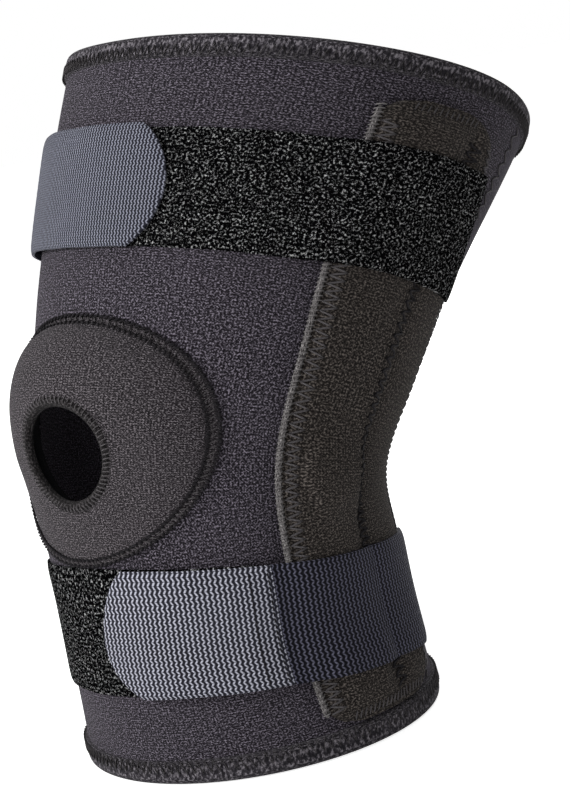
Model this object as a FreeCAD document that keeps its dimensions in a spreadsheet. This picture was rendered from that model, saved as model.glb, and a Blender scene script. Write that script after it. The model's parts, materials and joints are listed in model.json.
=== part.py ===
"""Hinged open-patella knee brace, size extra large, for a left leg, bent about 31 degrees.

Frame: +Z is up along the shin, -Y is the front (patella) and +X the outer side of the leg.
The origin is where the shin axis meets the plane of the bottom rim, on which the brace stands.
The knee hinge turns about the X axis through (0, 0, knee_level). Lengths are in millimetres.

Every soft piece is cut from leg forms. A leg form is one lofted solid through seven oval
sections, grown outwards by an offset, so that two neighbouring pieces share the same surface.
"""
import FreeCAD, Part
import math
import os
import Sketcher
from FreeCAD import Placement, Rotation, Vector

SIZES = [
    # the leg that the brace is moulded for
    ("knee_level", 104, "hinge axis above the bottom rim"),
    ("thigh_length", 148, "top rim from the hinge axis, along the thigh"),
    ("bend_angle", 31, "thigh leans back from the shin, degrees"),
    ("hem_front", 63, "bottom section: front of the shin axis"),
    ("hem_back", 72, "bottom section: behind the shin axis"),
    ("hem_half", 72, "bottom section: half width"),
    ("calf_drop", 54, "calf section below the hinge axis"),
    ("calf_front", 64, ""),
    ("calf_back", 71, ""),
    ("calf_half", 65, ""),
    ("shin_drop", 40, "shin section below the hinge axis"),
    ("shin_front", 63, ""),
    ("shin_back", 69, ""),
    ("shin_half", 66, ""),
    ("knee_front", 62, "section through the hinge axis, at half the bend"),
    ("knee_back", 65, ""),
    ("knee_half", 72, ""),
    ("low_thigh_rise", 45, "low thigh section above the hinge axis"),
    ("low_thigh_front", 70, ""),
    ("low_thigh_back", 64, ""),
    ("low_thigh_half", 81, ""),
    ("mid_thigh_rise", 95, "mid thigh section above the hinge axis"),
    ("mid_thigh_front", 77, ""),
    ("mid_thigh_back", 80, ""),
    ("mid_thigh_half", 87, ""),
    ("rim_front", 80, "top section"),
    ("rim_back", 96, ""),
    ("rim_half", 95, ""),
    # layers, from the skin outwards
    ("sleeve_wall", 4, "neoprene"),
    ("binding_wall", 1, "bound edge, each side of the sleeve"),
    ("binding_width", 8, "bound edge, along the leg"),
    ("pocket_height", 6, "side panel above the sleeve"),
    ("loop_height", 2, "loop pile strips"),
    ("strap_wall", 2, "elastic straps and tabs"),
    ("hook_height", 1, "hook pads under the tabs"),
    ("seat_gap", 0.3, "air between hooks and loops"),
    # where the sleeve is parted at the knee
    ("front_part_drop", 48, "calf sleeve ends this far below the hinge axis"),
    ("front_part_rise", 48, "thigh sleeve starts this far above it"),
    ("back_part_drop", 76, "calf back panel ends this far below it"),
    ("back_part_rise", 80, "thigh back panel starts this far above it"),
    ("back_panel_set", 37, "back panels lie this far behind the leg axis"),
    # side panels, as angles round the leg from the front
    ("front_seam_angle", 70.5, "degrees"),
    ("back_seam_low", 116, "degrees, at the bottom rim"),
    ("back_seam_knee", 130, "degrees, at the hinge axis"),
    ("back_seam_top", 110, "degrees, at the top rim"),
    ("panel_foot", 10, "side panel starts this far above the bottom rim"),
    ("panel_head", 17, "side panel ends this far below the top rim"),
    # straps
    ("lower_strap_width", 44, ""),
    ("lower_strap_drop", 31.7, "upper edge below the hinge axis, on the shin axis"),
    ("lower_strap_tilt", 6, "degrees, down towards the back"),
    ("lower_strap_end", 132, "sewn end, degrees from the front"),
    ("lower_strap_root", 64, "where the tab starts to peel, degrees"),
    ("lower_tab_tip", 7, "tip of the tab, degrees"),
    ("lower_loop_start", -122, "degrees"),
    ("lower_loop_end", 60, "degrees"),
    ("upper_strap_width", 47, ""),
    ("upper_strap_rise", 64, "lower edge above the hinge axis"),
    ("upper_tab_extra", 2, "tab wider than its loop strip, both edges together"),
    ("upper_strap_end", 124, "sewn end on the inner side, degrees"),
    ("upper_strap_root", 38, "where the tab starts to peel, degrees on the inner side"),
    ("upper_tab_tip", 25, "tip of the tab, degrees"),
    ("upper_loop_start", 30, "degrees on the inner side"),
    ("upper_loop_end", 123, "degrees"),
    ("tab_tip_radius", 29, "rounded end of each tab"),
    ("tab_cut", 0.6, "cut between a strap and its tab, degrees"),
    ("hook_margin", 4, "hook pad stops this short of the tip, degrees"),
    # patella panel
    ("dome_pitch", 20.5, "panel axis above the horizontal, degrees"),
    ("dome_half_width", 59, ""),
    ("dome_half_height", 45, ""),
    ("dome_reach", 77, "apex from the hinge axis"),
    ("dome_centre", 20, "centre of the bulge from the hinge axis"),
    ("dome_width_radius", 58.5, "bulge across"),
    ("dome_height_radius", 51.5, "bulge up and down"),
    ("dome_wall", 3, ""),
    ("seam_gap", 0.3, "between the patella panel and the sleeve round it"),
    ("aperture_radius", 18.3, "clear opening at the patella"),
    ("rim_radius", 2.2, "half thickness of the bound opening"),
    ("buttress_radius", 27, "middle of the patella ring"),
    ("buttress_height", 5, "half thickness of the patella ring"),
    # hinged stays
    ("arm_wall", 1.6, "steel strip"),
    ("arm_width", 14, ""),
    ("arm_standoff", 1.9, "strip above the sleeve"),
    ("pivot_lift", 0.8, "hinge further off the sleeve than the strips"),
    ("arm_foot", 24, "lower end above the bottom rim"),
    ("arm_head", 34, "upper end below the top rim"),
    ("arm_flat", 10.5, "flat length beside the pivot"),
    ("arm_joggle", 20, "lower strip is back on the leg's line this far below the pivot"),
    ("disc_radius", 10, "round end at the pivot"),
    ("pivot_radius", 2.5, "rivet shank"),
    ("pivot_play", 0.05, "between the shank and the upper strip's hole"),
    ("washer_wall", 0.5, ""),
    ("washer_radius", 8, ""),
    ("head_wall", 1, "rivet heads"),
    ("head_radius", 5, ""),
    ("turning_gap", 0.1, "between pieces that turn on each other"),
    ("cap_length", 10, "plastic tip caps"),
    ("cap_wall", 0.6, ""),
    ("channel_play", 0.3, "room around a stay in its channel"),
    ("boss_wall", 1.2, "panel over the hinge"),
    ("boss_margin", 3, "raised part of the panel round the hinge"),
]
SECTION_POINTS = 12
RULED = True
FAR = 200
X_AXIS = Vector(1, 0, 0)
Z_AXIS = Vector(0, 0, 1)

doc = FreeCAD.newDocument("KneeBrace")
sheet = doc.addObject("Spreadsheet::Sheet", "Sizes")
for row, (alias, value, note) in enumerate(SIZES, start=1):
    sheet.set(f"A{row}", str(value))
    sheet.setAlias(f"A{row}", alias)
    sheet.set(f"B{row}", note)
doc.recompute()


def size(expression):
    """A value worked out from the sheet's aliases."""
    return float(sheet.evalExpression(expression))


# ---------------------------------------------------------------- frames of the two limbs

BEND = size("bend_angle")
PIVOT = Vector(0, 0, size("knee_level"))


def limb(bend, start=PIVOT):
    """A frame whose Z runs along a limb that leans back by bend degrees."""
    return Placement(start, Rotation(X_AXIS, -bend))


CALF = Placement()
KNEE = limb(BEND / 2)
THIGH = limb(BEND)


# ---------------------------------------------------------------- leg forms

STATIONS = [
    (CALF, 0, "hem"),
    (CALF, size("knee_level - calf_drop"), "calf"),
    (CALF, size("knee_level - shin_drop"), "shin"),
    (KNEE, 0, "knee"),
    (THIGH, size("low_thigh_rise"), "low_thigh"),
    (THIGH, size("mid_thigh_rise"), "mid_thigh"),
    (THIGH, size("thigh_length"), "rim"),
]


def section_point(station, angle, offset=0):
    """A point of one section, at an angle from the front towards the outer side."""
    frame, level, name = station
    front, back, half = (size(f"{name}_{side}") for side in ("front", "back", "half"))
    depth = (front + back) / 2
    turn = math.radians(angle)
    local = Vector(math.sin(turn) * (half + offset),
                   (back - front) / 2 - math.cos(turn) * (depth + offset), level)
    return frame.multVec(local)


def leg_form(name, offset):
    """The leg grown by an offset, as a closed solid from rim to rim."""
    wires = []
    for station in STATIONS:
        points = [section_point(station, 360 * i / SECTION_POINTS, offset)
                  for i in range(SECTION_POINTS)]
        curve = Part.BSplineCurve()
        curve.interpolate(Points=points, PeriodicFlag=True,
                          Parameters=[i / SECTION_POINTS for i in range(SECTION_POINTS + 1)])
        wires.append(Part.Wire([curve.toShape()]))
    form = doc.addObject("Part::Feature", name)
    form.Shape = Part.makeLoft(wires, True, RULED)
    return form


# ---------------------------------------------------------------- document helpers

def bind(obj, **sizes):
    """Bind properties of an object to expressions over the sheet's aliases."""
    for prop, expression in sizes.items():
        obj.setExpression(prop, in_sheet(expression))
    return obj


def in_sheet(expression):
    """Prefix each alias in an expression with the sheet's name."""
    words = expression.replace("(", " ( ").replace(")", " ) ").split()
    aliases = {alias for alias, _, _ in SIZES}
    return " ".join(f"Sizes.{word}" if word in aliases else word for word in words)


def cut(base, tool, name="Cut"):
    """Base less tool."""
    result = doc.addObject("Part::Cut", name)
    result.Base, result.Tool = base, tool
    return result


def common(*shapes, name="Common"):
    """What all the shapes share."""
    result = doc.addObject("Part::MultiCommon", name)
    result.Shapes = list(shapes)
    return result


def fuse(*shapes, name="Fuse"):
    """All the shapes as one."""
    result = doc.addObject("Part::MultiFuse", name)
    result.Shapes = list(shapes)
    return result


def cylinder(name, placement, **sizes):
    """A cylinder along its placement's Z."""
    result = bind(doc.addObject("Part::Cylinder", name), **sizes)
    result.Placement = placement
    return result


def slab(name, frame, start, length):
    """Everything between two levels of a limb: start and length are expressions."""
    block = cylinder(name, frame.multiply(Placement(Vector(0, 0, size(start)), Rotation())), Height=length)
    block.Radius = FAR
    return block


def sector(name, frame, start, length, first, last):
    """The part of a slab between two angles, counted from the front to the outer side."""
    block = slab(name, frame, start, length)
    turn = Placement(Vector(), Rotation(Z_AXIS, size(first) - 90))
    block.Placement = block.Placement.multiply(turn)
    return bind(block, Angle=f"( {last} ) - ( {first} )")


def side_prism(name, outline):
    """A closed side view, in the YZ plane, drawn out across the whole leg."""
    prism = doc.addObject("Part::Feature", name)
    face = Part.Face(Part.Wire(outline))
    face.translate(Vector(-FAR, 0, 0))
    prism.Shape = face.extrude(Vector(2 * FAR, 0, 0))
    return prism


def part(node, shape):
    """Label a finished sub-part with its node name."""
    shape.Label = node
    PARTS[node] = shape
    return shape


def mirrored(node, source):
    """The same sub-part for the inner side of the leg."""
    mirror = doc.addObject("Part::Mirroring", node)
    mirror.Source = source
    mirror.Normal = X_AXIS
    return part(node, mirror)


PARTS = {}

skin = leg_form("Skin", -size("sleeve_wall"))
binding_inside = leg_form("BindingInside", -size("sleeve_wall + binding_wall"))
surface = leg_form("Surface", 0)
binding_outside = leg_form("BindingOutside", size("binding_wall"))
pocket_top = leg_form("PocketTop", size("pocket_height"))
sleeve_shell = cut(surface, skin, "SleeveShell")

inner_side = doc.addObject("Part::Box", "InnerSide")
inner_side.Length, inner_side.Width, inner_side.Height = FAR, 3 * FAR, 3 * FAR
inner_side.Placement.Base = Vector(-FAR, -FAR, -FAR)


# ---------------------------------------------------------------- side view outlines

def back_seam_angle(station):
    """The side panel's back seam widens from the bottom rim to the knee and narrows above."""
    frame, level, _ = station
    if frame is THIGH:
        share = level / size("thigh_length")
        return size("back_seam_knee") + share * size("back_seam_top - back_seam_knee")
    share = level / size("knee_level") if frame is CALF else 1
    return size("back_seam_low") + share * size("back_seam_knee - back_seam_low")


def panel_prism(name, grow=0):
    """The side panels' side view, grown all round, cut off at the panel's foot and head."""
    def seam(angle_of, side):
        curve = Part.BSplineCurve()
        shift = Vector(0, side * grow, 0)
        points = [section_point(station, angle_of(station)) for station in STATIONS]
        curve.interpolate([Vector(0, p.y, p.z) + shift for p in points])
        return curve.toShape()

    front = seam(lambda station: size("front_seam_angle"), -1)
    back = seam(back_seam_angle, 1)
    ends = [Part.LineSegment(front.Vertexes[i].Point, back.Vertexes[i].Point).toShape() for i in (0, -1)]
    whole = side_prism(name + "Whole", [front, ends[1], back, ends[0]])
    foot = slab(name + "Foot", CALF, "-20", f"20 + panel_foot - {grow}")
    head = slab(name + "Head", THIGH, f"thigh_length - panel_head + {grow}", "panel_head + 20")
    return cut(cut(whole, foot), head, name)


def back_outline():
    """Everything behind the line on which the back panels are joined."""
    reach = size("back_panel_set")
    bend = math.radians(BEND / 2)
    corner = PIVOT + Vector(0, reach, -reach * math.tan(bend))
    low = Vector(0, reach, -FAR)
    high = THIGH.multVec(Vector(0, reach, FAR))
    far_high = THIGH.multVec(Vector(0, FAR + reach, FAR))
    far_low = Vector(0, FAR + reach, -FAR)
    points = [low, corner, high, far_high, far_low, low]
    return [Part.LineSegment(a, b).toShape() for a, b in zip(points, points[1:])]


panel = panel_prism("Panel")
panel_grown = panel_prism("PanelGrown", size("strap_wall"))
back_half = side_prism("BackHalf", back_outline())


def limb_zones(name, drop, rise):
    """The slabs of calf and of thigh that move as one piece, between the folds of the bindings."""
    calf = slab(name + "CalfZone", CALF, "binding_wall", f"knee_level - binding_wall - {drop}")
    thigh = slab(name + "ThighZone", THIGH, rise, f"thigh_length - binding_wall - {rise}")
    return calf, thigh


def beyond_zones(name, drop, rise):
    """The same two slabs, drawn out past the ends of the leg."""
    calf = slab(name + "CalfSide", CALF, f"- {FAR}", f"{FAR} + knee_level - {drop}")
    thigh = slab(name + "ThighSide", THIGH, rise, f"{FAR}")
    return calf, thigh


calf_zone, thigh_zone = limb_zones("Front", "front_part_drop", "front_part_rise")
calf_side, thigh_side = beyond_zones("Front", "front_part_drop", "front_part_rise")
calf_back_zone, thigh_back_zone = limb_zones("Back", "back_part_drop", "back_part_rise")
calf_back_side, thigh_back_side = beyond_zones("Back", "back_part_drop", "back_part_rise")


# ---------------------------------------------------------------- bound rims

def make_binding(node, frame, edge, inner_edge):
    """A tape folded over the sleeve's edge: a U section that holds the sleeve."""
    band = slab(node + "Band", frame, edge, "binding_width")
    groove = slab(node + "Groove", frame, inner_edge, "binding_width - binding_wall")
    tape = common(cut(binding_outside, binding_inside), band)
    return part(node, cut(tape, common(sleeve_shell, groove), node))


make_binding("bottom_binding", CALF, "0", "binding_wall")
make_binding("top_binding", THIGH, "thigh_length - binding_width", "thigh_length - binding_width")


# ---------------------------------------------------------------- patella panel

DOME = Placement(PIVOT, Rotation(X_AXIS, 90 - size("dome_pitch")))


def dome_cylinder(name, half_width, half_height):
    """An oval cylinder along the patella panel's axis, from the hinge axis outwards."""
    oval = doc.addObject("Part::Ellipse", name + "Oval")
    bind(oval, MajorRadius=half_width, MinorRadius=half_height)
    oval.Placement = DOME
    prism = doc.addObject("Part::Extrusion", name)
    prism.Base = oval
    prism.DirMode = "Custom"
    prism.Dir = DOME.Rotation.multVec(Z_AXIS)
    prism.LengthFwd = FAR
    prism.Solid = True
    return prism


def dome_bulge(name, inset):
    """The rounded bulge over the patella, as an ellipsoid set in by an expression."""
    bulge = doc.addObject("Part::Ellipsoid", name)
    bind(bulge, Radius1=f"dome_reach - dome_centre - {inset}",
         Radius2=f"dome_width_radius - {inset}", Radius3=f"dome_height_radius - {inset}")
    bulge.Angle1, bulge.Angle2, bulge.Angle3 = -90, 90, 360
    bulge.Placement = DOME.multiply(Placement(Vector(0, 0, size("dome_centre")), Rotation()))
    return bulge


def ring_on_dome(node, centre_radius, half_thickness, axial):
    """A round ring about the patella panel's axis, at a distance from the hinge axis."""
    ring = bind(doc.addObject("Part::Torus", node), Radius1=centre_radius, Radius2=half_thickness)
    ring.Angle1, ring.Angle2, ring.Angle3 = -180, 180, 360
    ring.Placement = DOME.multiply(Placement(Vector(0, 0, axial), Rotation()))
    return part(node, ring)


def bulge_height(radius, inset, bulge_radius):
    """Distance from the hinge axis to the bulge's surface, at a radius across the panel."""
    share = radius / (bulge_radius - inset)
    return size("dome_centre") + (size("dome_reach - dome_centre") - inset) * math.sqrt(1 - share * share)


dome_outline = dome_cylinder("DomeOutline", "dome_half_width", "dome_half_height")
rim_middle = size("aperture_radius + rim_radius")
mean_bulge = size("( dome_width_radius + dome_height_radius ) / 2")
aperture_rim = ring_on_dome("aperture_rim", "aperture_radius + rim_radius", "rim_radius",
                            bulge_height(rim_middle, size("dome_wall") / 2, mean_bulge))
aperture = cylinder("Aperture", DOME, Radius="aperture_radius + rim_radius")
aperture.Height = FAR
dome_outside = fuse(common(surface, dome_outline), common(dome_bulge("BulgeOutside", "0"), dome_outline))
dome_inside = fuse(common(leg_form("DomeLining", -size("dome_wall")), dome_outline),
                   common(dome_bulge("BulgeInside", "dome_wall"), dome_outline))
dome_shell = cut(dome_outside, dome_inside, "DomeShell")
part("patella_dome", cut(cut(dome_shell, aperture), aperture_rim, "patella_dome"))
shoulder = size("buttress_height") * math.sin(math.radians(45))
buttress_axial = (bulge_height(size("buttress_radius") + shoulder, size("dome_wall"), size("dome_height_radius"))
                  - shoulder - size("seat_gap"))
ring_on_dome("patella_ring", "buttress_radius", "buttress_height", buttress_axial)


# ---------------------------------------------------------------- sleeve and back panels

front_shell = cut(sleeve_shell, back_half, "FrontShell")
back_shell = common(sleeve_shell, back_half, name="BackShell")
part("calf_sleeve", common(front_shell, calf_zone, name="calf_sleeve"))
part("thigh_sleeve", common(front_shell, thigh_zone, name="thigh_sleeve"))
knee_shell = cut(cut(front_shell, calf_side), thigh_side)
sleeve_opening = dome_cylinder("SleeveOpening", "dome_half_width + seam_gap", "dome_half_height + seam_gap")
part("knee_sleeve", cut(knee_shell, sleeve_opening, "knee_sleeve"))
part("calf_back_panel", common(back_shell, calf_back_zone, name="calf_back_panel"))
part("thigh_back_panel", common(back_shell, thigh_back_zone, name="thigh_back_panel"))
part("popliteal_panel", cut(cut(back_shell, calf_back_side), thigh_back_side, "popliteal_panel"))


# ---------------------------------------------------------------- hinged stays

# The lower strip lies inside, the upper one outside, with a washer between them.
LOWER_FACE = "( knee_half + arm_standoff + pivot_lift )"
UPPER_FACE = f"( {LOWER_FACE} + arm_wall + washer_wall + turning_gap )"
LOWER_LINE = [
    ("knee_level", LOWER_FACE),
    ("knee_level - arm_flat", LOWER_FACE),
    ("knee_level - arm_joggle", "shin_half + arm_standoff + ( knee_half - shin_half ) * "
                                "( shin_drop - arm_joggle ) / shin_drop"),
    ("knee_level - shin_drop", "shin_half + arm_standoff"),
    ("knee_level - calf_drop", "calf_half + arm_standoff"),
    ("arm_foot", "calf_half + arm_standoff + ( hem_half - calf_half ) * "
                 "( knee_level - calf_drop - arm_foot ) / ( knee_level - calf_drop )"),
]
UPPER_LINE = [
    ("0", UPPER_FACE),
    ("arm_flat", UPPER_FACE),
    ("low_thigh_rise", "low_thigh_half + arm_standoff"),
    ("mid_thigh_rise", "mid_thigh_half + arm_standoff"),
    ("thigh_length - arm_head", "mid_thigh_half + arm_standoff + ( rim_half - mid_thigh_half ) * "
                                "( thigh_length - arm_head - mid_thigh_rise ) / "
                                "( thigh_length - mid_thigh_rise )"),
]


def strip_sketch(name, line, placement, grow):
    """The edge view of a bent strip, grown on both faces: its inner line, then its outer one.

    Each corner is held by two dimensions that are bound to the sheet.
    """
    corners = [(f"{face} - ( {grow} )", level) for level, face in line]
    corners += [(f"{face} + arm_wall + {grow}", level) for level, face in reversed(line)]
    sketch = doc.addObject("Sketcher::SketchObject", name)
    places = [Vector(size(across), size(up), 0) for across, up in corners]
    for index, place in enumerate(places):
        sketch.addGeometry(Part.LineSegment(place, places[(index + 1) % len(places)]), False)
    for index, (across, up) in enumerate(corners):
        following = (index + 1) % len(corners)
        start_point, end_point = 1, 2
        sketch.addConstraint(Sketcher.Constraint("Coincident", index, end_point, following, start_point))
        for kind, expression in (("DistanceX", across), ("DistanceY", up)):
            number = sketch.addConstraint(Sketcher.Constraint(kind, -1, 1, index, start_point, size(expression)))
            sketch.setExpression(f"Constraints[{number}]", in_sheet(expression))
    upright = Placement(Vector(), Rotation(X_AXIS, 90))
    sketch.Placement = placement.multiply(upright)
    return sketch


def strip(name, line, placement, width, grow="0"):
    """A bent strip drawn out to its width, centred on the limb's axis plane."""
    bar = doc.addObject("Part::Extrusion", name)
    bar.Base = strip_sketch(name + "Edge", line, placement, grow)
    bar.DirMode = "Normal"
    bar.Symmetric = True
    bar.Solid = True
    return bind(bar, LengthFwd=width)


def on_pivot(name, face, **sizes):
    """A cylinder along X about the knee hinge, from a face given as an expression."""
    return cylinder(name, Placement(PIVOT + Vector(size(face), 0, 0), Rotation(Vector(0, 1, 0), 90)), **sizes)


def make_arm(node, line, placement, face, play):
    """A strip with a round, drilled end at the pivot."""
    bar = strip(node + "Bar", line, placement, "arm_width")
    disc = on_pivot(node + "Disc", face, Radius="disc_radius", Height="arm_wall")
    hole = on_pivot(node + "Hole", face, Radius=f"pivot_radius + {play}", Height="arm_wall")
    return part(node, cut(fuse(bar, disc), hole, node))


def lengthened(line, length, frame):
    """The same line, carried on past its end by a length along the limb."""
    (before, before_face), (level, face) = line[-2:]
    sign = "-" if frame is CALF else "+"
    new_level = f"{level} {sign} ( {length} )"
    slope = f"( {face} - ( {before_face} ) ) / ( {level} - ( {before} ) )"
    new_face = f"{face} {sign} ( {length} ) * {slope}"
    return line[:-1] + [(new_level, new_face)]


def make_cap(node, arm, line, frame, length_on_arm):
    """A dipped plastic cap round the end of a strip."""
    level = line[-1][0]
    sleeve = strip(node + "Sleeve", lengthened(line[-2:], "cap_wall", frame), frame,
                   "arm_width + 2 * cap_wall", "cap_wall")
    start = f"{level} - 2 * cap_length" if frame is CALF else f"{level} - cap_length"
    grip = slab(node + "Grip", frame, start, length_on_arm)
    return part(node, cut(common(sleeve, grip), arm, node))


def channel(name, line, placement):
    """The room that a strip and its cap need in the side panel."""
    return strip(name, lengthened(line, "cap_wall + channel_play", placement), placement,
                 "arm_width + 2 * ( channel_play + cap_wall )", "cap_wall + channel_play")


lower_arm = make_arm("lateral_lower_arm", LOWER_LINE, CALF, LOWER_FACE, "0")
upper_arm = make_arm("lateral_upper_arm", UPPER_LINE, THIGH, UPPER_FACE, "pivot_play")
lower_cap = make_cap("lateral_lower_cap", lower_arm, LOWER_LINE, CALF, "3 * cap_length")
upper_cap = make_cap("lateral_upper_cap", upper_arm, UPPER_LINE, THIGH, "3 * cap_length")
washer_disc = on_pivot("WasherDisc", f"{LOWER_FACE} + arm_wall", Radius="washer_radius", Height="washer_wall")
washer_hole = on_pivot("WasherHole", f"{LOWER_FACE} + arm_wall", Radius="pivot_radius", Height="washer_wall")
washer = part("lateral_washer", cut(washer_disc, washer_hole, "lateral_washer"))
inner_head = on_pivot("InnerHead", f"{LOWER_FACE} - head_wall", Radius="head_radius", Height="head_wall")
shank = on_pivot("Shank", LOWER_FACE, Radius="pivot_radius",
                 Height="2 * arm_wall + washer_wall + 2 * turning_gap")
outer_head = on_pivot("OuterHead", f"{UPPER_FACE} + arm_wall + turning_gap",
                      Radius="head_radius", Height="head_wall")
rivet = part("lateral_rivet", fuse(inner_head, shank, outer_head, name="lateral_rivet"))


# ---------------------------------------------------------------- side panels over the stays

boss_outside = f"{UPPER_FACE} + arm_wall + turning_gap + head_wall + seat_gap + boss_wall"
boss_radius = "disc_radius + channel_play + boss_margin"
boss = on_pivot("Boss", "knee_half - head_wall", Radius=boss_radius,
                Height=f"{boss_outside} - ( knee_half - head_wall )")
boss_room = on_pivot("BossRoom", f"{LOWER_FACE} - head_wall - channel_play",
                     Radius="disc_radius + channel_play",
                     Height=f"{boss_outside} - boss_wall - ( {LOWER_FACE} - head_wall - channel_play )")
stay_room = fuse(channel("LowerChannel", LOWER_LINE, CALF), channel("UpperChannel", UPPER_LINE, THIGH),
                 boss_room, name="StayRoom")
pocket_layer = cut(common(cut(pocket_top, surface), panel), inner_side)
knee_layer = cut(cut(pocket_layer, calf_side), thigh_side)
lateral = {
    "pocket_calf": cut(common(pocket_layer, calf_zone), stay_room),
    "pocket_knee": cut(fuse(knee_layer, cut(boss, surface)), stay_room),
    "pocket_thigh": cut(common(pocket_layer, thigh_zone), stay_room),
}
for piece, shape in lateral.items():
    mirrored(f"medial_{piece}", part(f"lateral_{piece}", shape))
for piece, shape in (("lower_arm", lower_arm), ("upper_arm", upper_arm), ("lower_cap", lower_cap),
                     ("upper_cap", upper_cap), ("washer", washer), ("rivet", rivet)):
    mirrored(f"medial_{piece}", shape)


# ---------------------------------------------------------------- straps

def over_panels(name, height):
    """The leg with its side panels, grown by a strap's height."""
    low = leg_form(name + "Low", height)
    high = leg_form(name + "High", size("pocket_height") + height)
    return fuse(low, common(high, panel_grown))


under_straps = fuse(surface, common(pocket_top, panel), name="UnderStraps")
loop_layer = cut(over_panels("Loop", size("loop_height")), under_straps, "LoopLayer")
strap_layer = cut(over_panels("Strap", size("strap_wall")), under_straps, "StrapLayer")
hook_low = size("loop_height + seat_gap")
hook_high = hook_low + size("hook_height")
hook_base = leg_form("HookBase", hook_low)
tab_base = leg_form("TabBase", hook_high)
tab_top = leg_form("TabTop", hook_high + size("strap_wall"))
hook_layer = cut(tab_base, hook_base, "HookLayer")
tab_layer = cut(tab_top, tab_base, "TabLayer")

LOWER_STRAP = Placement(PIVOT, Rotation(X_AXIS, -size("lower_strap_tilt")))
LOWER_BAND = ("- lower_strap_drop - lower_strap_width", "lower_strap_width")
UPPER_BAND = ("upper_strap_rise", "upper_strap_width")
UPPER_TAB = ("upper_strap_rise - upper_tab_extra / 2", "upper_strap_width + upper_tab_extra")


def tip_centre(frame, tip, heading):
    """The angle at which a tab's round end is centred: heading is 1 for a tip on the outer side."""
    girth = size("mid_thigh_front" if frame is THIGH else "calf_front") + hook_high
    return size(tip) - heading * math.degrees(size("tab_tip_radius") / girth)


def tip_cylinder(name, frame, band, angle):
    """The round end of a tab, drawn through the leg along the direction in which it faces."""
    start, length = band
    facing = Rotation(Z_AXIS, angle).multiply(Rotation(X_AXIS, 90))
    middle = Vector(0, 0, size(f"{start} + ( {length} ) / 2"))
    end = cylinder(name, frame.multiply(Placement(middle, facing)), Radius="tab_tip_radius")
    end.Height = FAR
    return end


def make_tab(prefix, frame, band, root, tip, heading):
    """A tab that peels off, and the hook pad under it, with a rounded tip."""
    hook_tip = f"{tip} - ( {heading} ) * hook_margin"
    for node, layer, end_at in ((f"{prefix}_tab", tab_layer, tip), (f"{prefix}_hook_pad", hook_layer, hook_tip)):
        middle = tip_centre(frame, end_at, heading)
        first, last = sorted((size(root), middle))
        straight = sector(node + "Reach", frame, *band, str(first), str(last))
        strip_band = slab(node + "Band", frame, *band)
        rounded = common(tip_cylinder(node + "Tip", frame, band, middle), strip_band)
        part(node, common(layer, strip_band, fuse(straight, rounded), name=node))


def piece_of(node, layer, frame, band, first, last):
    """A length of a strap or loop strip between two angles."""
    return part(node, common(layer, sector(node + "Sector", frame, *band, first, last), name=node))


piece_of("lower_loop_strip", loop_layer, LOWER_STRAP, LOWER_BAND, "lower_loop_start", "lower_loop_end")
piece_of("lower_strap", strap_layer, LOWER_STRAP, LOWER_BAND, "lower_strap_root + tab_cut", "lower_strap_end")
piece_of("upper_loop_strip", loop_layer, THIGH, UPPER_BAND, "- upper_loop_start", "upper_loop_end")
piece_of("upper_strap", strap_layer, THIGH, UPPER_TAB, "- upper_strap_end", "- upper_strap_root - tab_cut")
make_tab("upper", THIGH, UPPER_TAB, "- upper_strap_root", "upper_tab_tip", 1)
make_tab("lower", LOWER_STRAP, LOWER_BAND, "lower_strap_root", "lower_tab_tip", -1)


# ---------------------------------------------------------------- checks and export

doc.recompute()
broken = [obj.Label for obj in doc.Objects if "Invalid" in obj.State or "Error" in obj.State]
if broken:
    raise RuntimeError(f"these objects failed: {broken}")
for node, obj in PARTS.items():
    if obj.Shape.isNull() or not obj.Shape.isValid() or not obj.Shape.Solids:
        raise RuntimeError(f"{node} has no valid solid")
os.makedirs("parts", exist_ok=True)
for node, obj in PARTS.items():
    box = obj.Shape.BoundBox
    print(f"{node:24s} solids {len(obj.Shape.Solids)} volume {obj.Shape.Volume / 1000:8.2f} cm3 "
          f"x {box.XMin:.1f}..{box.XMax:.1f} y {box.YMin:.1f}..{box.YMax:.1f} z {box.ZMin:.1f}..{box.ZMax:.1f}")
    obj.Shape.exportStep(f"parts/{node}.step")
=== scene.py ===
"""Hinged open-patella knee brace: the look of every cloth, strap, stitch and stay.

The frame is +Z up the shin, -Y to the front of the knee and +X to the outer side of a left leg.
Lengths are in metres and angles in degrees. A place on the leg is given by three numbers: its
distance along the bent leg from the bottom rim, its angle round the leg from the front towards
the outer side, and its height above the sleeve's outer face.
"""

import json
import logging
import math
from dataclasses import dataclass, field
from enum import Enum
from typing import Callable, Sequence

import bpy
import numpy as np
from mathutils import Matrix, Vector
from mathutils.kdtree import KDTree


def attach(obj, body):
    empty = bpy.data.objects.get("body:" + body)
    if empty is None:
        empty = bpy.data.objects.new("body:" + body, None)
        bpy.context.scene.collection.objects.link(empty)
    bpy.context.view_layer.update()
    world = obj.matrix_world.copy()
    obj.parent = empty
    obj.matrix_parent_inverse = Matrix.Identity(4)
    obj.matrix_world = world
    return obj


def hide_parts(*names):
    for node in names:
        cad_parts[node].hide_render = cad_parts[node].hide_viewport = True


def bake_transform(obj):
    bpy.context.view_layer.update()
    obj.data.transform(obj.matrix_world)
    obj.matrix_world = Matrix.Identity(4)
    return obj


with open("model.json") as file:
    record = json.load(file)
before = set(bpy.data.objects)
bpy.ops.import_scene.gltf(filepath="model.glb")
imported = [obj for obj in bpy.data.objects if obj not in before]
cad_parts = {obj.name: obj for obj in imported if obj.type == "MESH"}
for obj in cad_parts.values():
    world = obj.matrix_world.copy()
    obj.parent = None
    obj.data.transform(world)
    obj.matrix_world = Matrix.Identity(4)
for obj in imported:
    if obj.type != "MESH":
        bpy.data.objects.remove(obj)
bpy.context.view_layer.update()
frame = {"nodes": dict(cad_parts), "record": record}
log = logging.getLogger("knee_brace")
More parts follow.
